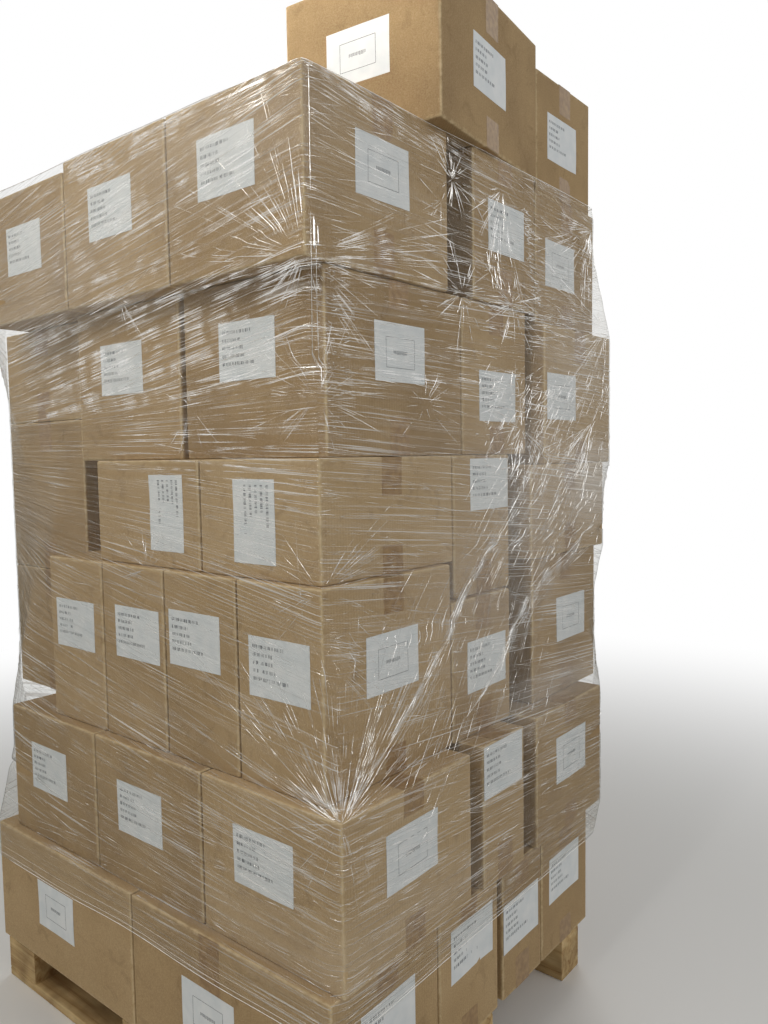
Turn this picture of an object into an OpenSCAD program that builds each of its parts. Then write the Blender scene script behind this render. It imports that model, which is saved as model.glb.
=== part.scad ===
// Pallet load of cartons in seven tiers, wound in stretch film.
// +X is the load's right side, -Y its front, +Z up. The origin is under the pallet's middle.

/* [Pallet] */
// Length of the pallet, along X
pallet_length = 1100; // [600:10:1400]
// Width of the pallet, along Y
pallet_width = 900; // [600:10:1400]
// Width of a deck board
deck_board_width = 98; // [60:1:160]
// Thickness of a deck board
deck_board_thickness = 20; // [12:1:30]
// Number of deck boards
deck_board_count = 8; // [4:1:12]
// Thickness of a stringer board
stringer_board_thickness = 20; // [12:1:30]
// Length of a block, along X
block_length = 120; // [60:1:200]
// Width of a block and of the boards above and below it, along Y
block_width = 88; // [60:1:160]
// Height of a block
block_height = 80; // [50:1:110]
// Thickness of a bottom board
bottom_board_thickness = 20; // [12:1:30]
// Chamfer on the pallet's sawn edges
board_chamfer = 2; // [0.5:0.5:4]

/* [Carton] */
// Radius of a carton's creased upright edges
crease_radius = 6; // [3:0.5:12]
// Gap where a carton's flaps meet
flap_gap = 3; // [1:0.5:6]
// Thickness of a carton's flap
flap_thickness = 4; // [2:0.5:7]
// Gap between cartons that stand side by side
carton_gap = 4; // [2:0.5:12]
// Long side of a label
label_long = 148; // [80:1:200]
// Short side of a label
label_short = 106; // [60:1:140]
// Thickness of a label
label_thickness = 0.4; // [0.2:0.1:1]

/* [Tier 1] */
// Height of the tier
tier_1_height = 281; // [150:1:450]
// Width of a front carton
tier_1_front = 540; // [150:1:700]
// Depth of a front carton
tier_1_depth = 290; // [150:1:700]
// Distance that the side stands out past the pallet
tier_1_side_out = 30; // [0:1:60]
// Distance that the front stands out past the pallet
tier_1_front_out = 33; // [0:1:60]
// Width of the second carton on the side
tier_1_second = 208; // [100:1:400]
// Width of the third carton on the side
tier_1_third = 165; // [100:1:400]
// Width of the fourth carton on the side
tier_1_fourth = 227; // [100:1:400]
// Gap before the third carton
tier_1_third_gap = 19; // [2:1:60]

/* [Tier 2] */
// Height of the tier
tier_2_height = 290; // [150:1:450]
// Width of a front carton
tier_2_front = 345; // [150:1:700]
// Depth of a front carton
tier_2_depth = 370; // [150:1:700]
// Distance that the side stands out past the pallet
tier_2_side_out = 40; // [0:1:60]
// Distance that the front stands out past the pallet
tier_2_front_out = 12; // [0:1:60]
// Width of the second carton on the side
tier_2_second = 160; // [100:1:400]
// Width of the third carton on the side
tier_2_third = 324; // [100:1:400]
// Gap before the second carton
tier_2_second_gap = 44; // [2:1:90]
// Gap before the third carton
tier_2_third_gap = 55; // [2:1:120]

/* [Tier 3] */
// Height of the tier
tier_3_height = 359; // [150:1:450]
// Width of a front carton
tier_3_front = 206; // [150:1:700]
// Depth of a front carton
tier_3_depth = 364; // [150:1:700]
// Distance that the side stands back from the pallet's side
tier_3_side_in = 16; // [0:1:60]
// Distance that the front stands back from the pallet's front
tier_3_front_in = 13; // [0:1:60]
// Width of the second carton on the side
tier_3_second = 220; // [100:1:400]
// Height of the second carton on the side
tier_3_second_height = 282; // [150:1:340]
// Width of the third carton on the side
tier_3_third = 325; // [100:1:400]
// Height of the third carton on the side
tier_3_third_height = 335; // [150:1:359]
// Gap before the third carton
tier_3_third_gap = 100; // [2:1:120]

/* [Tier 4] */
// Height of the tier
tier_4_height = 210; // [120:1:450]
// Width of the first front carton
tier_4_front = 305; // [150:1:700]
// Width of the next front carton
tier_4_next = 335; // [150:1:700]
// Depth of a front carton
tier_4_depth = 379; // [150:1:700]
// Distance that the side stands back from the pallet's side
tier_4_side_in = 33; // [0:1:60]
// Distance that the front stands back from the pallet's front
tier_4_front_in = 32; // [0:1:60]
// Width of the second carton on the side
tier_4_second = 214; // [100:1:400]
// Width of the third carton on the side
tier_4_third = 375; // [100:1:400]
// Gap before the third carton
tier_4_third_gap = 48; // [2:1:120]
// Distance that the third carton stands out past the first
tier_4_third_out = 28; // [0:1:60]

/* [Tier 5] */
// Height of the tier
tier_5_height = 318; // [150:1:450]
// Width of the first front carton
tier_5_front = 369; // [150:1:700]
// Width of the next front carton
tier_5_next = 359; // [150:1:700]
// Gap between the front cartons
tier_5_front_gap = 16; // [2:1:60]
// Depth of a front carton
tier_5_depth = 401; // [150:1:700]
// Distance that the side stands back from the pallet's side
tier_5_side_in = 50; // [0:1:80]
// Distance that the front stands back from the pallet's front
tier_5_front_in = 70; // [0:1:90]
// Width of the second carton on the side
tier_5_second = 260; // [100:1:400]
// Width of the third carton on the side
tier_5_third = 355; // [100:1:400]
// Gap before the third carton
tier_5_third_gap = 24; // [2:1:120]
// Distance that the third carton stands out past the first
tier_5_third_out = 35; // [0:1:60]

/* [Tier 6] */
// Height of the tier
tier_6_height = 302; // [150:1:450]
// Width of a front carton
tier_6_front = 347; // [150:1:700]
// Depth of a front carton
tier_6_depth = 397; // [150:1:700]
// Distance that the side stands back from the pallet's side
tier_6_side_in = 40; // [0:1:60]
// Distance that the front stands back from the pallet's front
tier_6_front_in = 18; // [0:1:60]
// Width of the second carton on the side
tier_6_second = 255; // [100:1:400]
// Width of the third carton on the side
tier_6_third = 302; // [100:1:400]
// Gap before the second carton
tier_6_second_gap = 90; // [2:1:120]
// Height of the last front carton
tier_6_last_height = 285; // [150:1:302]

/* [Left stack] */
// Width of the cartons in the stack at the left end
left_width = 340; // [150:1:450]
// Depth of those cartons
left_depth = 364; // [150:1:500]
// Height of the lowest of them
left_low_height = 304; // [150:1:400]
// Height of the middle one
left_middle_height = 361; // [150:1:400]
// Distance that the stack stands back from the pallet's front
left_front_in = 110; // [0:1:150]

/* [Top cartons] */
// Width of the near top carton, along X
top_near_width = 362; // [200:1:500]
// Depth of the near top carton, along Y
top_near_depth = 446; // [200:1:600]
// Height of the near top carton
top_near_height = 300; // [150:1:400]
// Distance of its corner from the pallet's front
top_near_back = 346; // [100:1:500]
// Distance that its corner stands back from the pallet's side
top_near_side_in = 5; // [0:1:60]
// Turn of the near top carton, in degrees
top_near_turn = 5.9; // [0:0.1:10]
// Distance of the far top carton from the near end of what it stands on
top_far_gap = 32; // [0:1:80]
// Width of the far top carton, along X
top_far_width = 325; // [200:1:500]
// Depth of the far top carton, along Y
top_far_depth = 277; // [200:1:500]
// Height of the far top carton
top_far_height = 280; // [150:1:400]

/* [Film] */
// Thickness of the wound film, all its layers together
film_thickness = 1; // [0.5:0.1:3]
// Clearance between the film and the carton that stands out most
film_clearance = 0.5; // [0.4:0.1:0.9]
// Distance that the film reaches below the top of tier 1
film_hang = 85; // [20:1:200]
// Slope at which the tight film runs back in from what stands out
film_slope = 0.16; // [0.05:0.01:0.4]
// Number of rings in the film
film_rings = 32; // [12:1:60]
// Number of sides in a ring
film_sides = 32; // [16:4:48]

/* [Hidden] */
$fn = 48;
overrun = 1;
half = 0.5;
pallet_height = bottom_board_thickness + block_height + stringer_board_thickness + deck_board_thickness;
pallet_side = pallet_length * half;
pallet_front = -pallet_width * half;
turn_full = 360;
rear_rows = 2;

// Levels of the tiers, each one the top of the tier below
level_1 = pallet_height;
level_2 = level_1 + tier_1_height;
level_3 = level_2 + tier_2_height;
level_4 = level_3 + tier_3_height;
level_5 = level_4 + tier_4_height;
level_6 = level_5 + tier_5_height;
level_7 = level_6 + tier_6_height;

// Right side and front of each tier
side_1 = pallet_side + tier_1_side_out;
side_2 = pallet_side + tier_2_side_out;
side_3 = pallet_side - tier_3_side_in;
side_4 = pallet_side - tier_4_side_in;
side_5 = pallet_side - tier_5_side_in;
side_6 = pallet_side - tier_6_side_in;
front_1 = pallet_front - tier_1_front_out;
front_2 = pallet_front - tier_2_front_out;
front_3 = pallet_front + tier_3_front_in;
front_4 = pallet_front + tier_4_front_in;
front_5 = pallet_front + tier_5_front_in;
front_6 = pallet_front + tier_6_front_in;

// Stack at the left end, clear of the longest of the front rows beside it
left_end = min(side_3 - (tier_3_front + carton_gap) * 4, side_4 - tier_4_front - tier_4_next - carton_gap * 2,
    side_5 - tier_5_front - tier_5_front_gap - tier_5_next - carton_gap) - left_width;
left_front = pallet_front + left_front_in;
left_low_top = level_3 + left_low_height;
left_middle_top = left_low_top + left_middle_height;

// Levels of the third stack on the side, which stands a little lower
third_4 = level_3 + tier_3_third_height;
third_5 = third_4 + tier_4_height;
third_6 = third_5 + tier_5_height;
third_7 = third_6 + tier_6_height;
second_4 = level_3 + tier_3_second_height;

// Inner ends of the cartons that stand along the side
inner_1 = side_1 - tier_1_front;
inner_2 = side_2 - tier_2_front;
inner_3 = side_3 - tier_3_depth;

// Where the second and third cartons on the side start, along Y
second_1_y = front_1 + tier_1_depth + carton_gap;
third_1_y = second_1_y + tier_1_second + tier_1_third_gap;
fourth_1_y = third_1_y + tier_1_third + carton_gap;
back_1 = fourth_1_y + tier_1_fourth;
second_2_y = front_2 + tier_2_depth + tier_2_second_gap;
third_2_y = second_2_y + tier_2_second + tier_2_third_gap;
back_2 = third_2_y + tier_2_third;
second_3_y = front_3 + tier_3_depth + carton_gap;
third_3_y = second_3_y + tier_3_second + tier_3_third_gap;
back_3 = third_3_y + tier_3_third;
second_4_y = front_4 + tier_4_depth + carton_gap;
third_4_y = second_4_y + tier_4_second + tier_4_third_gap;
back_4 = third_4_y + tier_4_third;
second_5_y = front_5 + tier_5_depth + carton_gap;
third_5_y = second_5_y + tier_5_second + tier_5_third_gap;
back_5 = third_5_y + tier_5_third;
second_6_y = front_6 + tier_6_depth + tier_6_second_gap;
third_6_y = second_6_y + tier_6_second + carton_gap;
back_6 = third_6_y + tier_6_third;

// Where the middle of each label is, as a share of its carton's face, across and up
tier_1_front_shares = [[0.43, 0.45], [0.46, 0.5]];
tier_1_side_shares = [[0.5, 0.6], [0.54, 0.67], [0.46, 0.54], [0.48, 0.6]];
tier_2_front_shares = [[0.47, 0.58], [0.44, 0.55], [0.46, 0.57]];
tier_2_side_shares = [[0.5, 0.6], [0.47, 0.81], [0.5, 0.58]];
tier_3_front_shares = [[0.5, 0.59], [0.43, 0.65], [0.57, 0.62], [0.48, 0.6]];
tier_3_side_shares = [[0.5, 0.58], [0.57, 0.5], [0.59, 0.52]];
tier_4_front_shares = [[0.48, 0.48], [0.7, 0.51]];
tier_4_side_shares = [[0.62, 0.79]];
tier_5_front_shares = [[0.48, 0.61], [0.45, 0.6]];
tier_5_side_shares = [[0.5, 0.59], [0.53, 0.39], [0.24, 0.49]];
tier_6_front_shares = [[0.47, 0.61], [0.48, 0.58], [0.51, 0.55]];
tier_6_side_shares = [[0.5, 0.59], [0.52, 0.53], [0.39, 0.49]];
top_shares = [[0.49, 0.53], [0.46, 0.51], [0.46, 0.52]];

// A label is nothing, or [size across, size up, share across, share up]
none = [];
function lying(shares) = [label_long, label_short, shares[0], shares[1]];
function upright(shares) = [label_short, label_long, shares[0], shares[1]];

// A carton is [x low, y low, z low, x size, y size, z size, front label, side label, seam along Y].
// The row runs left from the side, at one depth, and its first carton has the side's label.
function front_row(side, front, low, width, depth, height, front_shares, side_shares) = [
    for (i = [0 : len(front_shares) - 1])
        [side - width * (i + 1) - carton_gap * i, front, low, width, depth, height, lying(front_shares[i]),
            i == 0 ? lying(side_shares) : none, false]
];

// Rows of plain cartons behind the front ones, between two sides
function rear_grid(left, right, front, back, low, height, columns, rows) =
    let (width = (right - left - carton_gap * (columns - 1)) / columns)
    let (depth = (back - front - carton_gap * (rows - 1)) / rows)
    [
        for (i = [0 : columns - 1], j = [0 : rows - 1])
            [left + (width + carton_gap) * i, front + (depth + carton_gap) * j, low, width, depth, height,
                none, none, false]
    ];

// One carton that shows on the right side
function side_carton(side, start, low, inner, width, height, mark) =
    [inner, start, low, side - inner, width, height, none, mark, false];

tier_1_cartons = [
    each front_row(side_1, front_1, level_1, tier_1_front, tier_1_depth, tier_1_height, tier_1_front_shares,
        tier_1_side_shares[0]),
    side_carton(side_1, second_1_y, level_1, inner_1, tier_1_second, tier_1_height,
        lying(tier_1_side_shares[1])),
    side_carton(side_1, third_1_y, level_1, inner_1, tier_1_third, tier_1_height,
        lying(tier_1_side_shares[2])),
    side_carton(side_1, fourth_1_y, level_1, inner_1, tier_1_fourth, tier_1_height,
        lying(tier_1_side_shares[3])),
    each rear_grid(side_1 - tier_1_front * 2 - carton_gap, inner_1 - carton_gap, second_1_y,
        back_1, level_1, tier_1_height, 1, 3)
];

tier_2_cartons = [
    each front_row(side_2, front_2, level_2, tier_2_front, tier_2_depth, tier_2_height, tier_2_front_shares,
        tier_2_side_shares[0]),
    side_carton(side_2, second_2_y, level_2, inner_2, tier_2_second, tier_2_height,
        lying(tier_2_side_shares[1])),
    side_carton(side_2, third_2_y, level_2, inner_2, tier_2_third, tier_2_height,
        lying(tier_2_side_shares[2])),
    each rear_grid(side_2 - tier_2_front * 3 - carton_gap * 2, inner_2 - carton_gap,
        front_2 + tier_2_depth + carton_gap, back_2, level_2, tier_2_height, 2, rear_rows)
];

tier_3_cartons = [
    each front_row(side_3, front_3, level_3, tier_3_front, tier_3_depth, tier_3_height, tier_3_front_shares,
        tier_3_side_shares[0]),
    [left_end, left_front, level_3, left_width, left_depth, left_low_height, none, none, true],
    side_carton(side_3, second_3_y, level_3, inner_3, tier_3_second, tier_3_second_height,
        lying(tier_3_side_shares[1])),
    side_carton(side_3, third_3_y, level_3, inner_3, tier_3_third, tier_3_third_height,
        lying(tier_3_side_shares[2])),
    each rear_grid(left_end, inner_3 - carton_gap, left_front + left_depth + carton_gap,
        back_3, level_3, tier_3_height, 2, rear_rows)
];

tier_4_cartons = [
    [side_4 - tier_4_front, front_4, level_4, tier_4_front, tier_4_depth, tier_4_height,
        upright(tier_4_front_shares[0]), none, false],
    [side_4 - tier_4_front - carton_gap - tier_4_next, front_4, level_4, tier_4_next, tier_4_depth,
        tier_4_height, upright(tier_4_front_shares[1]), none, false],
    [left_end, left_front, left_low_top, left_width, left_depth, left_middle_height, none, none, true],
    side_carton(side_4, second_4_y, second_4, inner_3, tier_4_second, level_5 - second_4,
        lying(tier_4_side_shares[0])),
    side_carton(side_4 + tier_4_third_out, third_4_y, third_4, inner_3, tier_4_third, tier_4_height, none),
    each rear_grid(left_end, inner_3 - carton_gap, left_front + left_depth + carton_gap,
        back_4, level_4, tier_4_height, 2, rear_rows)
];

tier_5_cartons = [
    [side_5 - tier_5_front, front_5, level_5, tier_5_front, tier_5_depth, tier_5_height,
        lying(tier_5_front_shares[0]), lying(tier_5_side_shares[0]), false],
    [side_5 - tier_5_front - tier_5_front_gap - tier_5_next, front_5, level_5, tier_5_next, tier_5_depth,
        tier_5_height, lying(tier_5_front_shares[1]), none, false],
    [left_end, left_front, left_middle_top, left_width, left_depth, level_6 - left_middle_top, none, none,
        true],
    side_carton(side_5, second_5_y, level_5, inner_3, tier_5_second, tier_5_height,
        lying(tier_5_side_shares[1])),
    side_carton(side_5 + tier_5_third_out, third_5_y, third_5, inner_3, tier_5_third, tier_5_height,
        lying(tier_5_side_shares[2])),
    each rear_grid(left_end, inner_3 - carton_gap, left_front + left_depth + carton_gap,
        back_5, level_5, tier_5_height, 2, rear_rows)
];

tier_6_cartons = [
    each front_row(side_6, front_6, level_6, tier_6_front, tier_6_depth, tier_6_height,
        [tier_6_front_shares[0], tier_6_front_shares[1]], tier_6_side_shares[0]),
    [side_6 - tier_6_front * 3 - carton_gap * 2, front_6, level_6, tier_6_front, tier_6_depth,
        tier_6_last_height, lying(tier_6_front_shares[2]), none, false],
    side_carton(side_6, second_6_y, level_6, inner_3, tier_6_second, tier_6_height,
        lying(tier_6_side_shares[1])),
    side_carton(side_6, third_6_y, third_6, inner_3, tier_6_third, tier_6_height,
        lying(tier_6_side_shares[2])),
    each rear_grid(side_6 - tier_6_front * 3 - carton_gap * 2, inner_3 - carton_gap,
        front_6 + tier_6_depth + carton_gap, back_6, level_6, tier_6_height, 2, rear_rows)
];

// The two loose cartons on top stand outside the film
top_near_carton = [-top_near_width, 0, 0, top_near_width, top_near_depth, top_near_height,
    lying(top_shares[0]), lying(top_shares[1]), false];
top_far_carton = [inner_3, third_6_y + top_far_gap, third_7, top_far_width, top_far_depth,
    top_far_height, none, lying(top_shares[2]), false];
wrapped_cartons = concat(tier_1_cartons, tier_2_cartons, tier_3_cartons, tier_4_cartons, tier_5_cartons,
    tier_6_cartons);

// Film rings: a side of a ring is a tight line past the cartons in that direction
film_low = level_2 - film_hang;
film_high = level_7 - film_clearance;
film_step = (film_high - film_low) / (film_rings - 1);
function ring_height(ring) = film_low + film_step * ring;
function side_turn(side) = turn_full * side / film_sides;

// How far a carton's rounded corner reaches in a direction
function reach(carton, turn) =
    max([
        for (x = [carton[0] + crease_radius, carton[0] + carton[3] - crease_radius],
            y = [carton[1] + crease_radius, carton[1] + carton[4] - crease_radius])
            x * cos(turn) + y * sin(turn)
    ]) + crease_radius;

// Cartons that cross the band between a ring's neighbours
function band_cartons(ring) = [
    for (carton = wrapped_cartons)
        if (carton[2] < ring_height(ring + 1) && carton[2] + carton[5] > ring_height(ring - 1))
            carton
];
function ring_reach(ring) =
    let (near = band_cartons(ring))
    [for (side = [0 : film_sides - 1]) max([for (carton = near) reach(carton, side_turn(side))])];
bare_reach = [for (ring = [0 : film_rings - 1]) ring_reach(ring)];

// The tight film leaves what stands out at no more than its slope, as a smaller copy of that ring
function drawn_in(steps) = max(0, 1 - film_slope * film_step * abs(steps) / pallet_side);
function tight_reach(ring, side) =
    max([for (other = [0 : film_rings - 1]) bare_reach[other][side] * drawn_in(ring - other)]);
film_reach = [
    for (ring = [0 : film_rings - 1])
        [for (side = [0 : film_sides - 1]) tight_reach(ring, side) + film_clearance]
];

// Corner where two neighbouring sides of a ring meet
function ring_corner(reaches, side, out) =
    let (a = side_turn(side), b = side_turn(side + 1))
    let (p = reaches[side] + out, q = reaches[(side + 1) % film_sides] + out)
    [(p * sin(b) - q * sin(a)) / sin(b - a), (q * cos(a) - p * cos(b)) / sin(b - a)];
function ring_points(ring, out) = [
    for (side = [0 : film_sides - 1])
        let (corner = ring_corner(film_reach[ring], side, out))
        [corner[0], corner[1], ring_height(ring)]
];
function ring_quads(start, inward) = [
    for (ring = [0 : film_rings - 2], side = [0 : film_sides - 1])
        let (next = (side + 1) % film_sides)
        let (a = start + ring * film_sides + side, b = start + ring * film_sides + next)
        let (c = b + film_sides, d = a + film_sides)
        inward ? [a, b, c, d] : [a, d, c, b]
];
function rim_quads(ring, up) =
    let (outer = ring * film_sides, inner = (film_rings + ring) * film_sides)
    [
        for (side = [0 : film_sides - 1])
            let (next = (side + 1) % film_sides)
            up ? [outer + side, inner + side, inner + next, outer + next]
                : [outer + side, outer + next, inner + next, inner + side]
    ];

wood = [0.80, 0.66, 0.46];
kraft = [0.66, 0.51, 0.33];
paper = [0.94, 0.94, 0.92];
clear = [0.85, 0.88, 0.90, 0.35];

// Sawn board with chamfered long edges, along X
module board(length, width, thickness) {
    profile = [
        [board_chamfer, 0],
        [width - board_chamfer, 0],
        [width, board_chamfer],
        [width, thickness - board_chamfer],
        [width - board_chamfer, thickness],
        [board_chamfer, thickness],
        [0, thickness - board_chamfer],
        [0, board_chamfer]
    ];
    rotate([90, 0, 90])
        linear_extrude(length)
            polygon(profile);
}

module deck_boards() {
    pitch = (pallet_length - deck_board_width) / (deck_board_count - 1);
    deck_low = pallet_height - deck_board_thickness;
    color(wood)
        for (i = [0 : deck_board_count - 1])
            translate([pitch * i + deck_board_width - pallet_side, pallet_front, deck_low])
                rotate([0, 0, 90])
                    board(pallet_width, deck_board_width, deck_board_thickness);
}

// Places along Y of the three rows of blocks, at a given width
function row_y(row, width) = (pallet_width - block_width) * half * (row - 1) - width * half;

module stringer_boards() {
    block_top = bottom_board_thickness + block_height;
    color(wood)
        for (row = [0 : 2])
            translate([-pallet_side, row_y(row, block_width), block_top])
                board(pallet_length, block_width, stringer_board_thickness);
}

module bottom_boards() {
    color(wood)
        for (row = [0 : 2])
            translate([-pallet_side, row_y(row, block_width), 0])
                board(pallet_length, block_width, bottom_board_thickness);
}

module pallet_blocks() {
    pitch = (pallet_length - block_length) * half;
    color(wood)
        for (row = [0 : 2], place = [-1 : 1])
            translate([pitch * place - block_length * half, row_y(row, block_width), bottom_board_thickness])
                board(block_length, block_width, block_height);
}

// Carton with creased upright edges and a seam where its flaps meet, above and below
module carton(box) {
    size = [box[3], box[4], box[5]];
    seam = box[8] ? [flap_gap, size[1] + overrun * 2] : [size[0] + overrun * 2, flap_gap];
    translate([box[0], box[1], box[2]])
        difference() {
            linear_extrude(size[2]) {
                translate([crease_radius, 0])
                    square([size[0] - crease_radius * 2, size[1]]);
                translate([0, crease_radius])
                    square([size[0], size[1] - crease_radius * 2]);
                for (x = [crease_radius, size[0] - crease_radius], y = [crease_radius, size[1] - crease_radius])
                    translate([x, y])
                        circle(r = crease_radius);
            }
            for (z = [0, size[2]])
                translate([size[0] * half, size[1] * half, z])
                    cube([seam[0], seam[1], flap_thickness * 2], center = true);
        }
}

module carton_group(list) {
    color(kraft)
        for (box = list)
            carton(box);
}

module tier_1_cartons() carton_group(tier_1_cartons);
module tier_2_cartons() carton_group(tier_2_cartons);
module tier_3_cartons() carton_group(tier_3_cartons);
module tier_4_cartons() carton_group(tier_4_cartons);
module tier_5_cartons() carton_group(tier_5_cartons);
module tier_6_cartons() carton_group(tier_6_cartons);

// Puts the near top carton at its corner, turned a little
module at_top_near() {
    translate([pallet_side - top_near_side_in, pallet_front + top_near_back, level_7])
        rotate([0, 0, top_near_turn])
            children();
}

module top_cartons() {
    at_top_near()
        carton_group([top_near_carton]);
    carton_group([top_far_carton]);
}

// Labels on the front and the right side of a carton
module label_plates(box) {
    front = box[6];
    side = box[7];
    if (front != none)
        translate([box[0] + box[3] * front[2] - front[0] * half, box[1] - label_thickness,
                box[2] + box[5] * front[3] - front[1] * half])
            cube([front[0], label_thickness, front[1]]);
    if (side != none)
        translate([box[0] + box[3], box[1] + box[4] * side[2] - side[0] * half,
                box[2] + box[5] * side[3] - side[1] * half])
            cube([label_thickness, side[0], side[1]]);
}

module carton_labels() {
    color(paper) {
        for (box = wrapped_cartons)
            label_plates(box);
        at_top_near()
            label_plates(top_near_carton);
        label_plates(top_far_carton);
    }
}

module stretch_film() {
    outer = [for (ring = [0 : film_rings - 1]) each ring_points(ring, film_thickness)];
    inner = [for (ring = [0 : film_rings - 1]) each ring_points(ring, 0)];
    faces = concat(ring_quads(0, false), ring_quads(film_rings * film_sides, true), rim_quads(0, false),
        rim_quads(film_rings - 1, true));
    color(clear)
        polyhedron(points = concat(outer, inner), faces = faces);
}

deck_boards();
stringer_boards();
pallet_blocks();
bottom_boards();
tier_1_cartons();
tier_2_cartons();
tier_3_cartons();
tier_4_cartons();
tier_5_cartons();
tier_6_cartons();
top_cartons();
carton_labels();
stretch_film();
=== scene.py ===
import math
import random
from collections import namedtuple

import bmesh
import bpy
import numpy as np
from mathutils import Matrix, Vector


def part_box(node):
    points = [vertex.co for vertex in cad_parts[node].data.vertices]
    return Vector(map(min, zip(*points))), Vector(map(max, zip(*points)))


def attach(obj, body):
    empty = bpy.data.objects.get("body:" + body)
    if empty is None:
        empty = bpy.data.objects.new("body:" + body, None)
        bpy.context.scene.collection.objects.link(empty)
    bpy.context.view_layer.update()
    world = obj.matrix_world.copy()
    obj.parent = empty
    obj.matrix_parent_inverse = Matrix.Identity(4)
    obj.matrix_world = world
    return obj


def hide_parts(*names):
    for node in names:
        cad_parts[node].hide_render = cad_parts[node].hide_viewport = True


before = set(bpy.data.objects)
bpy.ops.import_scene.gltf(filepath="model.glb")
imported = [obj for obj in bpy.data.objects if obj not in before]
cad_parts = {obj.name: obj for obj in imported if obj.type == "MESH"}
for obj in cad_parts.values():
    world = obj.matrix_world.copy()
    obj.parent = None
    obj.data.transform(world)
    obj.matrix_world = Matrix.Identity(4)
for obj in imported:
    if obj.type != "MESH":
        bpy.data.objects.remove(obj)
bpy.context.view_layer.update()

# Sizes in metres, in the frame of the CAD model
MM = 0.001
SEED = 41
TIERS = 6
WALL_CREASE = 6 * MM  # rounding of a carton's upright folds
FLAP_CREASE = 3.5 * MM  # rounding of the folds of its flaps
ROUND_SPLIT = 0.586  # where a fold's round is halved, as a share of it
FOLD_MARGIN = 8 * MM  # flat strip beside a fold
SEAM_HALF = 1.5 * MM  # half of the gap where two flaps meet
SEAM_DEPTH = 3 * MM
PANEL_STEP = 38 * MM  # spacing of the points across a panel
RUB_REACH = 7 * MM  # how far from a fold the board is rubbed
PAPER_THICKNESS = 0.3 * MM
PAPER_LIFT = 0.3 * MM  # the glue holds a label this far from the board, over any tape
INK_THICKNESS = 0.1 * MM
INK_SINK = 0.02 * MM
TAPE_WIDTH = 57 * MM
TAPE_TAB = 62 * MM  # length of tape folded over a carton's end
TAPE_THICKNESS = 0.15 * MM
TAPE_LIFT = 0.2 * TAPE_THICKNESS
TAPE_SEAM_LIFT = 0.45 * MM  # it lies clear of the board over the flaps
TAPE_END = 0.992  # where tape ends on a panel, as a share of its half size
WALL_TAPE = (0.252, 0.309)  # from where to where along X the taped wall of the lowest tier is taped
SIDE_LENGTH = 1.09  # mean length of a side of the film
FILM_CLEARANCE = 2 * MM
FILM_SLOPE = 0.16  # how fast the tight film runs back in from what stands out
LOAD_HALF = 0.55
FILM_RINGS = 120
FILM_AXIS = np.array([0.02, 0.09])  # middle of the load, where the film is drawn in to
BAND_LIFT, FOLD_LIFT, GLINT_LIFT, RIM_LIFT = 1.9 * MM, 2.3 * MM, 2.1 * MM, 0.9 * MM
NAIL_HEAD = 4 * MM  # radius
FLOOR_REACH = 30.0


# sRGB hex to the linear values that the shaders take
def linear(hex_colour, alpha=1.0):
    parts = [int(hex_colour[i:i + 2], 16) / 255 for i in (1, 3, 5)]
    channels = [c / 12.92 if c <= 0.04045 else ((c + 0.055) / 1.055) ** 2.4 for c in parts]
    return (*channels, alpha)


# Adds one node with its settings, its values and links, and the stops of a colour ramp. A node given as a
# value stands for its first output, and a text such as "#F1F0EC" for that colour.
def add(tree, kind, values=None, stops=(), **settings):
    node = tree.nodes.new(kind)
    for name, setting in settings.items():
        setattr(node, name, setting)
    for socket, value in (values or {}).items():
        if isinstance(value, bpy.types.Node):
            value = value.outputs[0]
        if isinstance(value, bpy.types.NodeSocket):
            tree.links.new(value, node.inputs[socket])
        else:
            is_colour = isinstance(value, str) and value.startswith("#")
            node.inputs[socket].default_value = linear(value) if is_colour else value
    for index, (place, colour) in enumerate(stops):
        elements = node.color_ramp.elements
        element = elements[index] if index < len(elements) else elements.new(place)
        element.position, element.color = place, linear(colour)
    return node


def new_material(name):
    material = bpy.data.materials.new(name)
    material.use_nodes = True
    material.node_tree.nodes.clear()
    return material, material.node_tree


# A material with one noise, in patches of a size in metres, that sets its colour and also its relief, where
# it has one of a strength and a depth. What is given as a range follows the noise too.
def patchy_material(name, patch, detail, stops, relief=None, **finish):
    material, tree = new_material(name)
    place = add(tree, "ShaderNodeTexCoord").outputs["Object"]
    noise = add(tree, "ShaderNodeTexNoise", {"Vector": place, "Scale": 1 / patch, "Detail": detail})
    values = {"Base Color": add(tree, "ShaderNodeValToRGB", {"Fac": noise}, stops)}
    for socket, value in finish.items():
        if isinstance(value, dict):
            value = add(tree, "ShaderNodeMapRange", {"Value": noise, **value})
        values[socket] = value
    if relief:
        strength, depth = relief
        values["Normal"] = add(tree, "ShaderNodeBump", {"Height": noise, "Strength": strength,
                                                        "Distance": depth})
    shader = add(tree, "ShaderNodeBsdfPrincipled", values)
    add(tree, "ShaderNodeOutputMaterial", {"Surface": shader})
    return material


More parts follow.
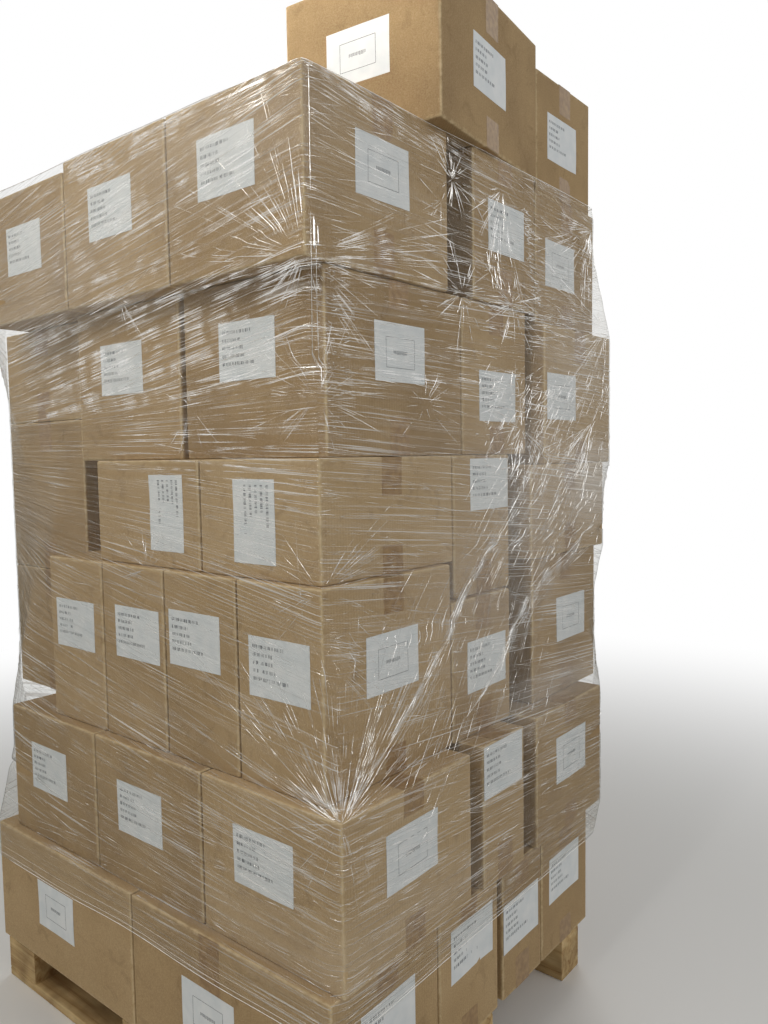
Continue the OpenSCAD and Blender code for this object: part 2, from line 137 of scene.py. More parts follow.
# Kraft corrugated board: matt brown paper over flutes, mottled by its fibres, paler where folds are rubbed
def kraft_board():
    material, tree = new_material("kraft_corrugated_board")
    place = add(tree, "ShaderNodeTexCoord").outputs["Object"]
    clouds = add(tree, "ShaderNodeTexNoise", {"Vector": place, "Scale": 1 / (166.7 * MM), "Detail": 3.0,
                                              "Roughness": 0.55})
    # Fibres, drawn 2.6 mm long so that they show
    fibres = add(tree, "ShaderNodeTexNoise", {"Vector": place, "Scale": 1 / (2.632 * MM), "Detail": 2.0,
                                              "Roughness": 0.7})
    tone = add(tree, "ShaderNodeAttribute", attribute_name="tone").outputs["Fac"]
    rubbed = add(tree, "ShaderNodeAttribute", attribute_name="rubbed").outputs["Fac"]
    shade = add(tree, "ShaderNodeMath", {0: clouds, 1: 0.6, 2: tone}, operation="MULTIPLY_ADD")
    paper = add(tree, "ShaderNodeValToRGB", {"Fac": shade},
                [(0.2, "#907653"), (0.5, "#AF936A"), (0.85, "#C3A880")])
    specks = add(tree, "ShaderNodeValToRGB", {"Fac": fibres},
                 [(0.32, "#6F5738"), (0.5, "#AF936A"), (0.7, "#DEC9A3")])
    board = add(tree, "ShaderNodeMix", {0: 0.2, 6: paper, 7: specks}, data_type="RGBA").outputs[2]
    # Handling marks: long faint smudges, darker than the paper
    smudge = add(tree, "ShaderNodeTexNoise", {"Vector": place, "Scale": 1 / (71.43 * MM), "Detail": 4.0,
                                              "Roughness": 0.7, "Distortion": 1.2})
    marked = add(tree, "ShaderNodeMapRange", {"Value": smudge, "From Min": 0.56, "From Max": 0.74,
                                              "To Max": 0.45})
    board = add(tree, "ShaderNodeMix", {0: marked, 6: board, 7: "#7C6240"}, data_type="RGBA").outputs[2]
    scuffs = add(tree, "ShaderNodeTexNoise", {"Vector": place, "Scale": 1 / (14.29 * MM), "Detail": 3.0,
                                              "Roughness": 0.65})
    scuffed = add(tree, "ShaderNodeMath", {0: scuffs, 1: rubbed}, operation="MULTIPLY")
    worn = add(tree, "ShaderNodeMapRange", {"Value": scuffed, "From Min": 0.2, "From Max": 0.52,
                                            "To Max": 0.85})
    colour = add(tree, "ShaderNodeMix", {0: worn, 6: board, 7: "#D6C098"}, data_type="RGBA").outputs[2]
    # Flutes stand upright, 7 mm apart, on front and side walls alike
    split = add(tree, "ShaderNodeSeparateXYZ", {"Vector": place})
    across = add(tree, "ShaderNodeMath", {0: split.outputs["X"], 1: split.outputs["Y"]}, operation="ADD")
    phase = add(tree, "ShaderNodeMath", {0: across, 1: 2 * math.pi / (7 * MM)}, operation="MULTIPLY")
    flute = add(tree, "ShaderNodeMath", {0: phase}, operation="SINE")
    relief = add(tree, "ShaderNodeMath", {0: fibres, 1: 0.8, 2: flute}, operation="MULTIPLY_ADD")
    bump = add(tree, "ShaderNodeBump", {"Height": relief, "Strength": 0.2, "Distance": 0.4 * MM})
    rough = add(tree, "ShaderNodeMapRange", {"Value": fibres, "To Min": 0.72, "To Max": 0.95})
    shader = add(tree, "ShaderNodeBsdfPrincipled", {"Base Color": colour, "Roughness": rough, "Normal": bump,
                                                    "Specular IOR Level": 0.35})
    add(tree, "ShaderNodeOutputMaterial", {"Surface": shader})
    return material


# Coated label paper: bright and smooth, a little cockled
def label_paper():
    return patchy_material("white_label_paper", 33.33 * MM, 3.0, [(0.3, "#DADFE0"), (0.7, "#E9EBEA")],
                           (0.25, 1 * MM), Roughness={"To Min": 0.45, "To Max": 0.6})


# Printer's ink: thin dark grey, patchy as toner is
def printed_ink():
    return patchy_material("printed_grey_ink", 1.667 * MM, 2.0, [(0.35, "#4B4F55"), (0.75, "#8B8F92")],
                           Roughness=0.6)


# Brown packing tape: smooth polypropylene, a shade darker and glossier than the board under it
def packing_tape():
    return patchy_material("brown_polypropylene_tape", 11.11 * MM, 4.0, [(0.35, "#8F6E44"), (0.7, "#A98859")],
                           (0.3, 0.4 * MM), Roughness=0.28, IOR=1.49)


# Zinc plated nail: dull grey metal
def nail_zinc():
    return patchy_material("zinc_plated_nail", 3.333 * MM, 2.0, [(0.4, "#77716A"), (0.7, "#A5A3A0")],
                           Metallic=1.0, Roughness=0.45)


# Sawn softwood: pale, with long grain along the board, saw marks across it and some grime
def sawn_pine(name, grain):
    material, tree = new_material(name)
    place = add(tree, "ShaderNodeTexCoord").outputs["Object"]
    stretched = add(tree, "ShaderNodeMapping", {"Vector": place, "Scale": grain})
    rings = add(tree, "ShaderNodeTexNoise", {"Vector": stretched, "Scale": 1 / (18.18 * MM), "Detail": 5.0,
                                             "Roughness": 0.6, "Distortion": 0.6})
    grime = add(tree, "ShaderNodeTexNoise", {"Vector": place, "Scale": 1 / (111.1 * MM), "Detail": 5.0})
    wood = add(tree, "ShaderNodeValToRGB", {"Fac": rings},
               [(0.3, "#A37D4C"), (0.48, "#CBAC78"), (0.7, "#E0C796")])
    dirt = add(tree, "ShaderNodeValToRGB", {"Fac": grime}, [(0.35, "#8F7E66"), (0.6, "#FFFFFF")])
    aged = add(tree, "ShaderNodeMix", {0: 0.6, 6: wood, 7: dirt}, data_type="RGBA", blend_type="MULTIPLY")
    bump = add(tree, "ShaderNodeBump", {"Height": rings, "Strength": 0.5, "Distance": 0.8 * MM})
    shader = add(tree, "ShaderNodeBsdfPrincipled", {"Base Color": aged.outputs[2], "Roughness": 0.82,
                                                    "Normal": bump})
    add(tree, "ShaderNodeOutputMaterial", {"Surface": shader})
    return material


# Polyethylene stretch film: thin, clear and glossy. It mirrors the lamps as any clear plastic does, and turns
# milky in fine lines where the pull gathers it; these white lines are partly the film's own haze and partly
# painted highlight, standing in for streaks of glare. gathered is how milky they are.
def stretch_film(name, gathered):
    material, tree = new_material(name)
    pull = add(tree, "ShaderNodeUVMap", uv_map="pull")

    # Noise drawn out along the pull: its sizes along and across, in metres
    def drawn_noise(along, across, detail):
        grid = add(tree, "ShaderNodeMapping", {"Vector": pull, "Scale": (1 / along, 1 / across, 1.0)})
        return add(tree, "ShaderNodeTexNoise", {"Vector": grid, "Scale": 1.0, "Detail": detail})

    lines = drawn_noise(340 * MM, 3.0 * MM, 1.0)
    pleats = drawn_noise(460 * MM, 11 * MM, 2.0)
    where = drawn_noise(300 * MM, 140 * MM, 1.0)
    crinkles = drawn_noise(12 * MM, 6 * MM, 1.0)
    # veiled is painted on the piece where the film is cloudy, and calm where it is smooth
    veiled = add(tree, "ShaderNodeAttribute", attribute_name="veiled").outputs["Fac"]
    calm = add(tree, "ShaderNodeAttribute", attribute_name="calm").outputs["Fac"]
    busy = add(tree, "ShaderNodeMapRange", {"Value": where, "From Min": 0.42, "From Max": 0.62,
                                            "To Min": 0.2})
    # Partly painted highlight: the white lines drawn here stand in for streaks of lamp glare on the creases,
    # as well as the gathered film's own haze
    drawn = add(tree, "ShaderNodeMapRange", {"Value": lines, "From Min": 0.58, "From Max": 0.66,
                                             "To Max": gathered})
    milk_and_painted_streaks = add(tree, "ShaderNodeMath", {0: drawn, 1: busy}, operation="MULTIPLY")
    soft = add(tree, "ShaderNodeMapRange", {"Value": pleats, "From Min": 0.52, "From Max": 0.7,
                                            "To Max": gathered * 0.1})
    clouded = add(tree, "ShaderNodeMath", {0: veiled, 1: 0.26, 2: soft}, operation="MULTIPLY_ADD")
    free = add(tree, "ShaderNodeMath", {0: calm, 1: -1.0, 2: 1.0}, operation="MULTIPLY_ADD")
    cover = add(tree, "ShaderNodeMath", {0: milk_and_painted_streaks, 1: free, 2: clouded}, operation="MULTIPLY_ADD",
                use_clamp=True)

    relief = add(tree, "ShaderNodeMath", {0: lines, 1: 0.4, 2: pleats}, operation="MULTIPLY_ADD")
    patches = add(tree, "ShaderNodeMapRange", {"Value": where, "From Min": 0.5, "From Max": 0.7,
                                               "To Max": 0.4})
    crumple = add(tree, "ShaderNodeMath", {0: crinkles, 1: patches, 2: relief}, operation="MULTIPLY_ADD")
    bump = add(tree, "ShaderNodeBump", {"Height": crumple, "Strength": 1.0, "Distance": 5 * MM})
    milk = add(tree, "ShaderNodeBsdfPrincipled", {"Base Color": "#F1F0EC", "Roughness": 0.25, "IOR": 1.5,
                                                  "Normal": bump})
    clear = add(tree, "ShaderNodeBsdfTransparent", {"Color": "#FDFDFC"})
    gloss = add(tree, "ShaderNodeBsdfAnisotropic", {"Color": "#A19E96", "Roughness": 0.08, "Normal": bump})
    # A thin sheet mirrors alike from both sides, and more at a slant
    slant = add(tree, "ShaderNodeLayerWeight", {"Blend": 0.5, "Normal": bump}).outputs["Facing"]
    steep = add(tree, "ShaderNodeMath", {0: slant, 1: 4.0}, operation="POWER")
    mirror = add(tree, "ShaderNodeMath", {0: steep, 1: 0.66, 2: 0.055}, operation="MULTIPLY_ADD")
    film = add(tree, "ShaderNodeMixShader", {0: mirror, 1: clear, 2: gloss})
    whole = add(tree, "ShaderNodeMixShader", {0: cover, 1: film, 2: milk})
    add(tree, "ShaderNodeOutputMaterial", {"Surface": whole})
    return material


# Where the same film lies in folds it turns whiter, here faintly and there in full. In the fine folds this
# white is also painted highlight, standing in for streaks of glare, and the tight folds' full white serves
# both the film's rolled rims and the painted glints. Many thin layers pressed together mirror light nearly as
# metal does, and mirrored is that share.
def film_fold(name, faint, full, mirrored):
    cover = {"From Min": 0.4, "From Max": 0.62, "To Min": faint, "To Max": full}
    return patchy_material(name, 45.45 * MM, 1.0, [(0.3, "#EAE7E0"), (0.7, "#FCFBF8")], Metallic=mirrored,
                           Roughness=0.16, IOR=1.5, Alpha=cover if faint < full else full)


# Matt pale floor paint, which runs out into the white backdrop with distance
def floor_paint():
    material, tree = new_material("pale_studio_floor")
    place = add(tree, "ShaderNodeTexCoord").outputs["Object"]
    paint = add(tree, "ShaderNodeBsdfPrincipled", {"Base Color": "#F0F0EE", "Roughness": 0.85})
    away = add(tree, "ShaderNodeVectorMath", {0: place}, operation="LENGTH").outputs["Value"]
    far = add(tree, "ShaderNodeMapRange", {"Value": away, "From Min": 1.2, "From Max": 4.2},
              interpolation_type="SMOOTHSTEP")
    white = add(tree, "ShaderNodeEmission", {"Color": "#FFFFFF", "Strength": 1.0})
    seen = add(tree, "ShaderNodeLightPath").outputs["Is Camera Ray"]
    faded = add(tree, "ShaderNodeMath", {0: far, 1: seen}, operation="MULTIPLY")
    mixed = add(tree, "ShaderNodeMixShader", {0: faded, 1: paint, 2: white})
    add(tree, "ShaderNodeOutputMaterial", {"Surface": mixed})
    return material


def link_object(name, data):
    holder = bpy.data.objects.new(name, data)
    bpy.context.scene.collection.objects.link(holder)
    return holder


# Makes a mesh object of points and faces, with float attributes on its points
def new_piece(name, points, faces, material, attributes=None, merge=True, smooth=False):
    mesh = bpy.data.meshes.new(name)
    mesh.from_pydata([tuple(p) for p in points], [], faces)
    for key, values in (attributes or {}).items():
        mesh.attributes.new(key, "FLOAT", "POINT").data.foreach_set("value", np.asarray(values, np.float32))
    if merge:
        work = bmesh.new()
        work.from_mesh(mesh)
        bmesh.ops.remove_doubles(work, verts=work.verts, dist=0.02 * MM)
        bmesh.ops.recalc_face_normals(work, faces=work.faces)
        work.to_mesh(mesh)
        work.free()
    mesh.polygons.foreach_set("use_smooth", [smooth] * len(mesh.polygons))
    mesh.materials.append(material)
    return link_object(name, mesh)


# Attaches a piece to the root and hides the CAD nodes that it replaces. Film is so clear that light on its
# way to the load passes it, and only what the camera sees meets its surface.
def dress(piece, slot, *nodes):
    if slot == "clear_film":
        piece.visible_shadow = False
        piece.visible_diffuse = False
    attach(piece, "root")
    if nodes:
        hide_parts(*nodes)


# The separate solids of a CAD node, each as its points and its walls' areas and normals
def solids(node):
    work = bmesh.new()
    work.from_mesh(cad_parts[node].data)
    bmesh.ops.remove_doubles(work, verts=work.verts, dist=0.01 * MM)
    seen, groups = set(), []
    for start in work.verts:
        if start in seen:
            continue
        group, queue = [], [start]
        seen.add(start)
        while queue:
            vert = queue.pop()
            group.append(vert)
            for edge in vert.link_edges:
                other = edge.other_vert(vert)
                if other not in seen:
                    seen.add(other)
                    queue.append(other)
        points = np.array([vert.co for vert in group])
        faces = {face for vert in group for face in vert.link_faces}
        groups.append((points, [(face.calc_area(), face.normal.copy()) for face in faces
                                if abs(face.normal.z) < 0.3]))
    work.free()
    return groups


# A box that a solid fills: its middle, its turn about Z and its half sizes
class Box:
    def __init__(self, points, walls):
        normal = max(walls, key=lambda wall: wall[0])[1]
        turn = (math.atan2(normal.y, normal.x) + math.pi / 4) % (math.pi / 2) - math.pi / 4
        if abs(turn) < 1e-4:
            turn = 0.0
        self.cos, self.sin = math.cos(turn), math.sin(turn)
        self.middle = np.zeros(3)
        flat = self.local(points)
        low, high = flat.min(0), flat.max(0)
        self.half = (high - low) / 2
        self.middle = self.turned((low + high) / 2)
        near = flat - (low + high) / 2
        self.seam_along_y = bool(np.any(np.abs(near[:, 0]) < 2 * SEAM_HALF))

    def turned(self, local):
        x, y, z = np.moveaxis(np.asarray(local), -1, 0)
        return np.stack([x * self.cos - y * self.sin, x * self.sin + y * self.cos, z], axis=-1)

    def world(self, local):
        return self.turned(local) + self.middle

    def local(self, points):
        x, y, z = np.moveaxis(np.asarray(points) - self.middle, -1, 0)
        return np.stack([x * self.cos + y * self.sin, y * self.cos - x * self.sin, z], axis=-1)


# A carton: a box whose panels bulge a little, with rounded folds and a seam between its flaps. A panel is
# named by its axis and its side, -1 or 1.
class Carton(Box):
    def __init__(self, points, walls, tier, dice):
        super().__init__(points, walls)
        self.tier = tier
        self.tone = dice.uniform(0.02, 0.4)
        bulges = ((-2.4, 1.0), (-2.4, 1.0), (-1.6, -0.2))
        self.bulge = {(axis, side): dice.uniform(*bulges[axis]) * MM for axis in range(3) for side in (-1, 1)}
        self.ripple = [(dice.uniform(2, 6), dice.uniform(2, 6), dice.uniform(0, 6.3)) for _ in range(3)]

    # How far a panel stands out of the flat at a place, given as shares from -1 to 1
    def swell(self, axis, side, a, b):
        size = 0.35 * MM if axis < 2 else 0.0
        waves = sum(np.sin(p * a + q * b + r + axis + side) for p, q, r in self.ripple)
        return (1 - a ** 2) * (1 - b ** 2) * (self.bulge[axis, side] + size * waves)

    # Places on a panel, in the world, at a height above the board
    def on_panel(self, axis, side, a, b, lift=0.0):
        u, v = in_plane(axis)
        local = np.zeros(np.shape(a) + (3,))
        local[..., u], local[..., v] = a * self.half[u], b * self.half[v]
        local[..., axis] = side * (self.half[axis] + self.swell(axis, side, a, b) + lift)
        return self.world(local)


# The two axes along a panel
def in_plane(axis):
    return [i for i in range(3) if i != axis]


# Where the points of a carton's mesh lie along one axis: on the folds, beside the seam and evenly between
def axis_lines(half, crease, seam):
    inner = half - crease
    flat = inner - FOLD_MARGIN
    count = max(2, round(2 * flat / PANEL_STEP))
    ends = [half, half - ROUND_SPLIT * crease, inner, flat]
    lines = [-x for x in ends] + [(-1 + 2 * i / count) * flat for i in range(1, count)] + ends
    if seam:
        lines = [x for x in lines if abs(x) > 6 * SEAM_HALF]
        lines += [-3 * SEAM_HALF, -SEAM_HALF, 0.0, SEAM_HALF, 3 * SEAM_HALF]
    return sorted(lines)


# Faces over a grid of points, of a number of rows and columns
def grid_faces(rows, columns, start=0):
    return [(k, k + columns, k + columns + 1, k + 1) for i in range(rows - 1)
            for k in range(start + i * columns, start + (i + 1) * columns - 1)]


# The mesh of a carton: grids over its six panels, whose edges are rolled round to the crease radii
def carton_mesh(carton):
    half = carton.half
    creases = np.array([WALL_CREASE, WALL_CREASE, FLAP_CREASE])
    seams = (carton.seam_along_y, not carton.seam_along_y, False)
    lines = [axis_lines(half[i], creases[i], seams[i]) for i in range(3)]
    points, faces, rubbed = [], [], []
    for axis in range(3):
        u, v = in_plane(axis)
        for side in (-1, 1):
            a, b = np.meshgrid(lines[u], lines[v], indexing="ij")
            faces += grid_faces(*a.shape, sum(len(p) for p in points))
            local = np.zeros(a.shape + (3,))
            local[..., u], local[..., v], local[..., axis] = a, b, side * half[axis]
            core = np.clip(local, creases - half, half - creases)
            out = (local - core) / creases
            out /= np.maximum(np.linalg.norm(out, axis=-1, keepdims=True), 1e-9)
            shaped = core + out * creases
            shaped[..., axis] += side * carton.swell(axis, side, a / half[u], b / half[v])
            if axis == 2:
                across = a if carton.seam_along_y else b
                shaped[..., 2] -= side * SEAM_DEPTH * (np.abs(across) < SEAM_HALF * 0.5)
            edge = np.minimum(half[u] - np.abs(a), half[v] - np.abs(b))
            rubbed.append(np.exp(-edge / RUB_REACH).ravel())
            points.append(carton.world(shaped).reshape(-1, 3))
    return np.concatenate(points), faces, np.concatenate(rubbed)


def join_parts(parts):
    faces, start = [], 0
    for points, part_faces, _ in parts:
        faces += [tuple(i + start for i in face) for face in part_faces]
        start += len(points)
    return np.concatenate([part[0] for part in parts]), faces, np.concatenate([part[2] for part in parts])


# A thin plate that follows a carton's panel: paper, tape or a stroke of ink. Its corners are in shares of the
# panel's half size.
def panel_plate(carton, axis, side, low, high, lift, thickness, steps=(1, 1)):
    a, b = np.meshgrid(np.linspace(low[0], high[0], steps[0] + 1), np.linspace(low[1], high[1], steps[1] + 1),
                       indexing="ij")
    top = carton.on_panel(axis, side, a, b, lift + thickness).reshape(-1, 3)
    base = carton.on_panel(axis, side, a, b, lift).reshape(-1, 3)
    columns, count = steps[1] + 1, len(top)
    faces = []
    for quad in grid_faces(steps[0] + 1, columns):
        faces += [quad, tuple(count + q for q in reversed(quad))]
    rim = [i * columns for i in range(steps[0] + 1)]
    rim += [steps[0] * columns + j for j in range(1, columns)]
    rim += [i * columns + steps[1] for i in range(steps[0] - 1, -1, -1)]
    rim += list(range(steps[1] - 1, 0, -1))
    faces += [(m, k, count + k, count + m) for k, m in zip(rim, rim[1:] + rim[:1])]
    return np.concatenate([top, base]), faces, np.zeros(2 * count)


def make_cartons(board):
    dice = random.Random(SEED)
    cartons = []
    for tier in range(1, TIERS + 2):
        node = f"tier_{tier}_cartons" if tier <= TIERS else "top_cartons"
        group = [Carton(points, walls, tier, dice) for points, walls in solids(node)]
        parts = [carton_mesh(carton) for carton in group]
        tones = [np.full(len(part[0]), carton.tone) for part, carton in zip(parts, group)]
        points, faces, rubbed = join_parts(parts)
        piece = new_piece(node.replace("_cartons", "_board_cartons"), points, faces, board,
                          {"rubbed": rubbed, "tone": np.concatenate(tones)}, smooth=True)
        dress(piece, "carton_board", node)
        cartons += group
    return cartons


# Each label plate of the CAD model, as the carton, axis and side of its panel and its corners on it
def find_labels(cartons):
    found = []
    for points, walls in solids("carton_labels"):
        plate = Box(points, walls)
        axis = int(np.argmin(plate.half))
        side = -1 if axis == 1 else 1
        u, v = in_plane(axis)
        held = []
        for carton in cartons:
            near = carton.local(plate.middle)
            gap = abs(side * near[axis] - carton.half[axis])
            if abs(near[u]) < carton.half[u] and abs(near[v]) < carton.half[v] and gap < 2 * MM:
                held.append((gap, carton, near))
        _, carton, near = min(held, key=lambda row: row[0])
        low = [max(-0.995, (near[i] / carton.half[i]) - (plate.half[i] / carton.half[i])) for i in (u, v)]
        high = [min(0.995, (near[i] / carton.half[i]) + (plate.half[i] / carton.half[i])) for i in (u, v)]
        found.append((carton, axis, side, low, high))
    return found


# Rows of short strokes, as print looks from afar, or one plain thin frame
def print_strokes(carton, axis, side, low, high, framed, dice):
    u, v = in_plane(axis)
    width = (high[0] - low[0]) * carton.half[u]
    height = (high[1] - low[1]) * carton.half[v]
    upright = height > width
    long_side, short_side = max(width, height), min(width, height)

    # Place on the label, from its text's own top left corner, as shares of the panel
    def spot(along, down):
        x, y = (along, short_side - down) if not upright else (short_side - down, long_side - along)
        return (low[0] + x / carton.half[u], low[1] + y / carton.half[v])

    def bar(along, down, length, tall, steps=(1, 1)):
        p, q = spot(along, down), spot(along + length, down + tall)
        return panel_plate(carton, axis, side, np.minimum(p, q), np.maximum(p, q),
                           PAPER_LIFT + PAPER_THICKNESS - INK_SINK, INK_THICKNESS, steps)

    strokes = []
    if framed:
        left, top, wide, tall, line = 32 * MM, 26 * MM, 84 * MM, 54 * MM, 0.9 * MM
        for place in ((left, top, wide, line), (left, top + tall, wide, line), (left, top, line, tall),
                      (left + wide, top, line, tall)):
            strokes.append(bar(*place, (8, 8)))
        along = left + 22 * MM
        while along < left + wide - 22 * MM:
            strokes.append(bar(along, top + 23 * MM, 1.1 * MM, dice.uniform(5, 7.5) * MM))
            along += dice.choice((2.1, 2.4, 2.6)) * MM
        return strokes
    for row, share in enumerate((0.62, 0.4, 0.44, 0.46, 0.74)):
        along, end = 10 * MM, (10 + share * dice.uniform(0.94, 1.06) * 118) * MM
        down = (15 + 14.2 * row) * MM
        while along < end:
            for _ in range(dice.randint(2, 5)):
                if along > end:
                    break
                wide, tall = dice.choice((0.8, 1.0, 1.6)), dice.uniform(5.2, 6.6)
                strokes.append(bar(along, down, wide * MM, tall * MM))
                along += dice.choice((1.9, 2.3, 2.6)) * MM
            along += 2.6 * MM
    return strokes


def make_labels(cartons, paper, ink):
    dice = random.Random(SEED + 1)
    plates, strokes = [], []
    found = find_labels(cartons)
    sides = sorted((label for label in found if label[1] == 0), key=lambda label: label[0].middle[1])
    for label in found:
        carton, axis = label[:2]
        plates.append(panel_plate(*label, PAPER_LIFT, PAPER_THICKNESS, (8, 6)))
        # On the right every second label of most tiers has the frame, and on the front the lowest and highest
        if axis == 0:
            column = [other for other in sides if other[0].tier == carton.tier].index(label)
            framed = 2 <= carton.tier <= TIERS and column % 2 == 0 and carton.tier != 4
        else:
            framed = carton.tier in (1, TIERS + 1)
        strokes += print_strokes(*label, framed, dice)
    points, faces, _ = join_parts(plates)
    dress(new_piece("paper_labels", points, faces, paper), "label_paper", "carton_labels")
    points, faces, _ = join_parts(strokes)
    dress(new_piece("label_print", points, faces, ink), "label_paper")


# Tape over each carton's flap seam, top and bottom, folded down over both ends of the seam
def make_tape(cartons, tape):
    dice = random.Random(SEED + 4)
    strips = []
    for carton in cartons:
        run = 1 if carton.seam_along_y else 0
        cross = 1 - run
        wide = TAPE_WIDTH / 2 / carton.half[cross]
        shift = dice.uniform(-0.03, 0.03)
        for top in (-1, 1):
            low, high = [0.0, 0.0], [0.0, 0.0]
            low[run], high[run] = -TAPE_END, TAPE_END
            low[cross], high[cross] = shift - wide, shift + wide
            steps = (4, 20) if run else (20, 4)
            strips.append(panel_plate(carton, 2, top, low, high, TAPE_SEAM_LIFT, TAPE_THICKNESS, steps))
            for side in (-1, 1):
                long = TAPE_TAB * dice.uniform(0.8, 1.25) / carton.half[2]
                ends = sorted((top * (1 - long), top * TAPE_END))
                strips.append(panel_plate(carton, run, side, (shift - wide, ends[0]), (shift + wide, ends[1]),
                                          TAPE_LIFT, TAPE_THICKNESS, (3, 3)))
    # The wall of the near front carton of the lowest tier is taped from top to bottom
    lowest = max((carton for carton in cartons if carton.tier == 1 and carton.middle[1] < -0.2),
                 key=lambda carton: carton.middle[0])
    left, right = ((x - lowest.middle[0]) / lowest.half[0] for x in WALL_TAPE)
    strips.append(panel_plate(lowest, 1, -1, (left, -TAPE_END), (right, TAPE_END), TAPE_LIFT, TAPE_THICKNESS,
                              (3, 8)))
    points, faces, _ = join_parts(strips)
    dress(new_piece("packing_tape_strips", points, faces, tape), "carton_board")


# The tight loop round all that the film holds at a height
def hull(points):
    order = points[np.lexsort((points[:, 1], points[:, 0]))]
    loops = []
    for row in (order, order[::-1]):
        chain = []
        for p in row:
            while len(chain) > 1 and ((chain[-1][0] - chain[-2][0]) * (p[1] - chain[-2][1])
                                      - (chain[-1][1] - chain[-2][1]) * (p[0] - chain[-2][0])) <= 0:
                chain.pop()
            chain.append(p)
        loops += chain[:-1]
    return np.array(loops)


# Distance along a line of points in the plane, from its start to each of them
def reach_along(x, y):
    return np.concatenate([[0], np.cumsum(np.hypot(np.diff(x), np.diff(y)))])


# The wound film as rings. A place on it is (turn, height): the turn runs from 0 at the near corner along the
# right side to 1, along the back to 2, along the left side to 3 and along the front to 4.
class Film:
    SHARES = 120  # steps along each of the four sides

    def __init__(self, cartons):
        low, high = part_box("stretch_film")
        self.low, self.high = low.z, high.z
        corners, bottoms, tops = [], [], []
        arc = np.radians(np.arange(0, 91, 15))
        for carton in [other for other in cartons if other.tier <= TIERS]:
            for sx in (-1, 1):
                for sy in (-1, 1):
                    local = np.stack([sx * (carton.half[0] - WALL_CREASE + WALL_CREASE * np.cos(arc)),
                                      sy * (carton.half[1] - WALL_CREASE + WALL_CREASE * np.sin(arc)),
                                      0 * arc], axis=-1)
                    corners.append(carton.world(local)[:, :2])
                    bottoms += [carton.middle[2] - carton.half[2]] * len(arc)
                    tops += [carton.middle[2] + carton.half[2]] * len(arc)
        corners, bottoms, tops = np.concatenate(corners), np.array(bottoms), np.array(tops)
        rings = []
        for z in np.linspace(self.low, self.high, FILM_RINGS):
            away = np.maximum(0, np.maximum(bottoms - z, z - tops))
            shrink = 1 - FILM_SLOPE * away / LOAD_HALF
            keep = shrink > 0.8
            rings.append(self.along_sides(hull(FILM_AXIS + (corners[keep] - FILM_AXIS) * shrink[keep, None])))
        table = np.array(rings)
        ahead = np.roll(table, -1, axis=1) - np.roll(table, 1, axis=1)
        out = np.stack([ahead[..., 1], -ahead[..., 0]], axis=-1)
        self.out = out / np.linalg.norm(out, axis=-1, keepdims=True)
        self.table = table + self.out * FILM_CLEARANCE

    # Points at even shares of each side, between the loop's four corners
    def along_sides(self, loop):
        marks = [int(np.argmax(loop @ np.array(d))) for d in ((1, -1), (1, 1), (-1, 1), (-1, -1))]
        rows = []
        for a, b in zip(marks, marks[1:] + marks[:1]):
            chain = loop[a:b + 1] if b >= a else np.concatenate([loop[a:], loop[:b + 1]])
            lengths = reach_along(*chain.T)
            places = np.linspace(0, lengths[-1], self.SHARES, endpoint=False)
            rows.append(np.stack([np.interp(places, lengths, chain[:, i]) for i in (0, 1)], axis=1))
        return np.concatenate(rows)

    # Place on the film, at a height above it
    def at(self, turn, z, lift=0.0):
        turn, z = np.broadcast_arrays(np.asarray(turn, float) % 4, np.asarray(z, float))
        column = turn * self.SHARES
        left = np.floor(column).astype(int) % (4 * self.SHARES)
        right = (left + 1) % (4 * self.SHARES)
        u = (column - np.floor(column))[..., None]
        row = np.clip((z - self.low) / (self.high - self.low) * (FILM_RINGS - 1), 0, FILM_RINGS - 1.001)
        base = np.floor(row).astype(int)
        v = (row - base)[..., None]

        def blend(grid):
            lower = grid[base, left] * (1 - u) + grid[base, right] * u
            upper = grid[base + 1, left] * (1 - u) + grid[base + 1, right] * u
            return lower * (1 - v) + upper * v

        spot = blend(self.table) + blend(self.out) * np.asarray(lift)[..., None]
        return np.concatenate([spot, z[..., None]], axis=-1)


# How far the pull has risen at a place round the film, from the near corner, which it crosses without a break
def pull_rise(turn, z, levels):
    heights = [levels[1], levels[2], levels[3], levels[4] - 0.04, levels[4] + 0.07, levels[5], levels[6]]
    front = np.interp(z, heights, [0.0, -0.16, -0.2, 0.0, 0.15, 0.14, 0.2]) * SIDE_LENGTH
    right = np.interp(z, levels[1:], [-0.05, -0.07, -0.1, -0.05, 0.02, -0.02]) * SIDE_LENGTH
    turn = np.asarray(turn, float) % 4
    rear = right + (-front - right) * (turn - 1) / 2
    return np.where(turn <= 1, right * turn, np.where(turn < 3, rear, front * (turn - 4)))


def pull_slope(turn, z, levels, step=0.001):
    return (pull_rise(turn + step, z, levels) - pull_rise(turn, z, levels)) / (step * SIDE_LENGTH)


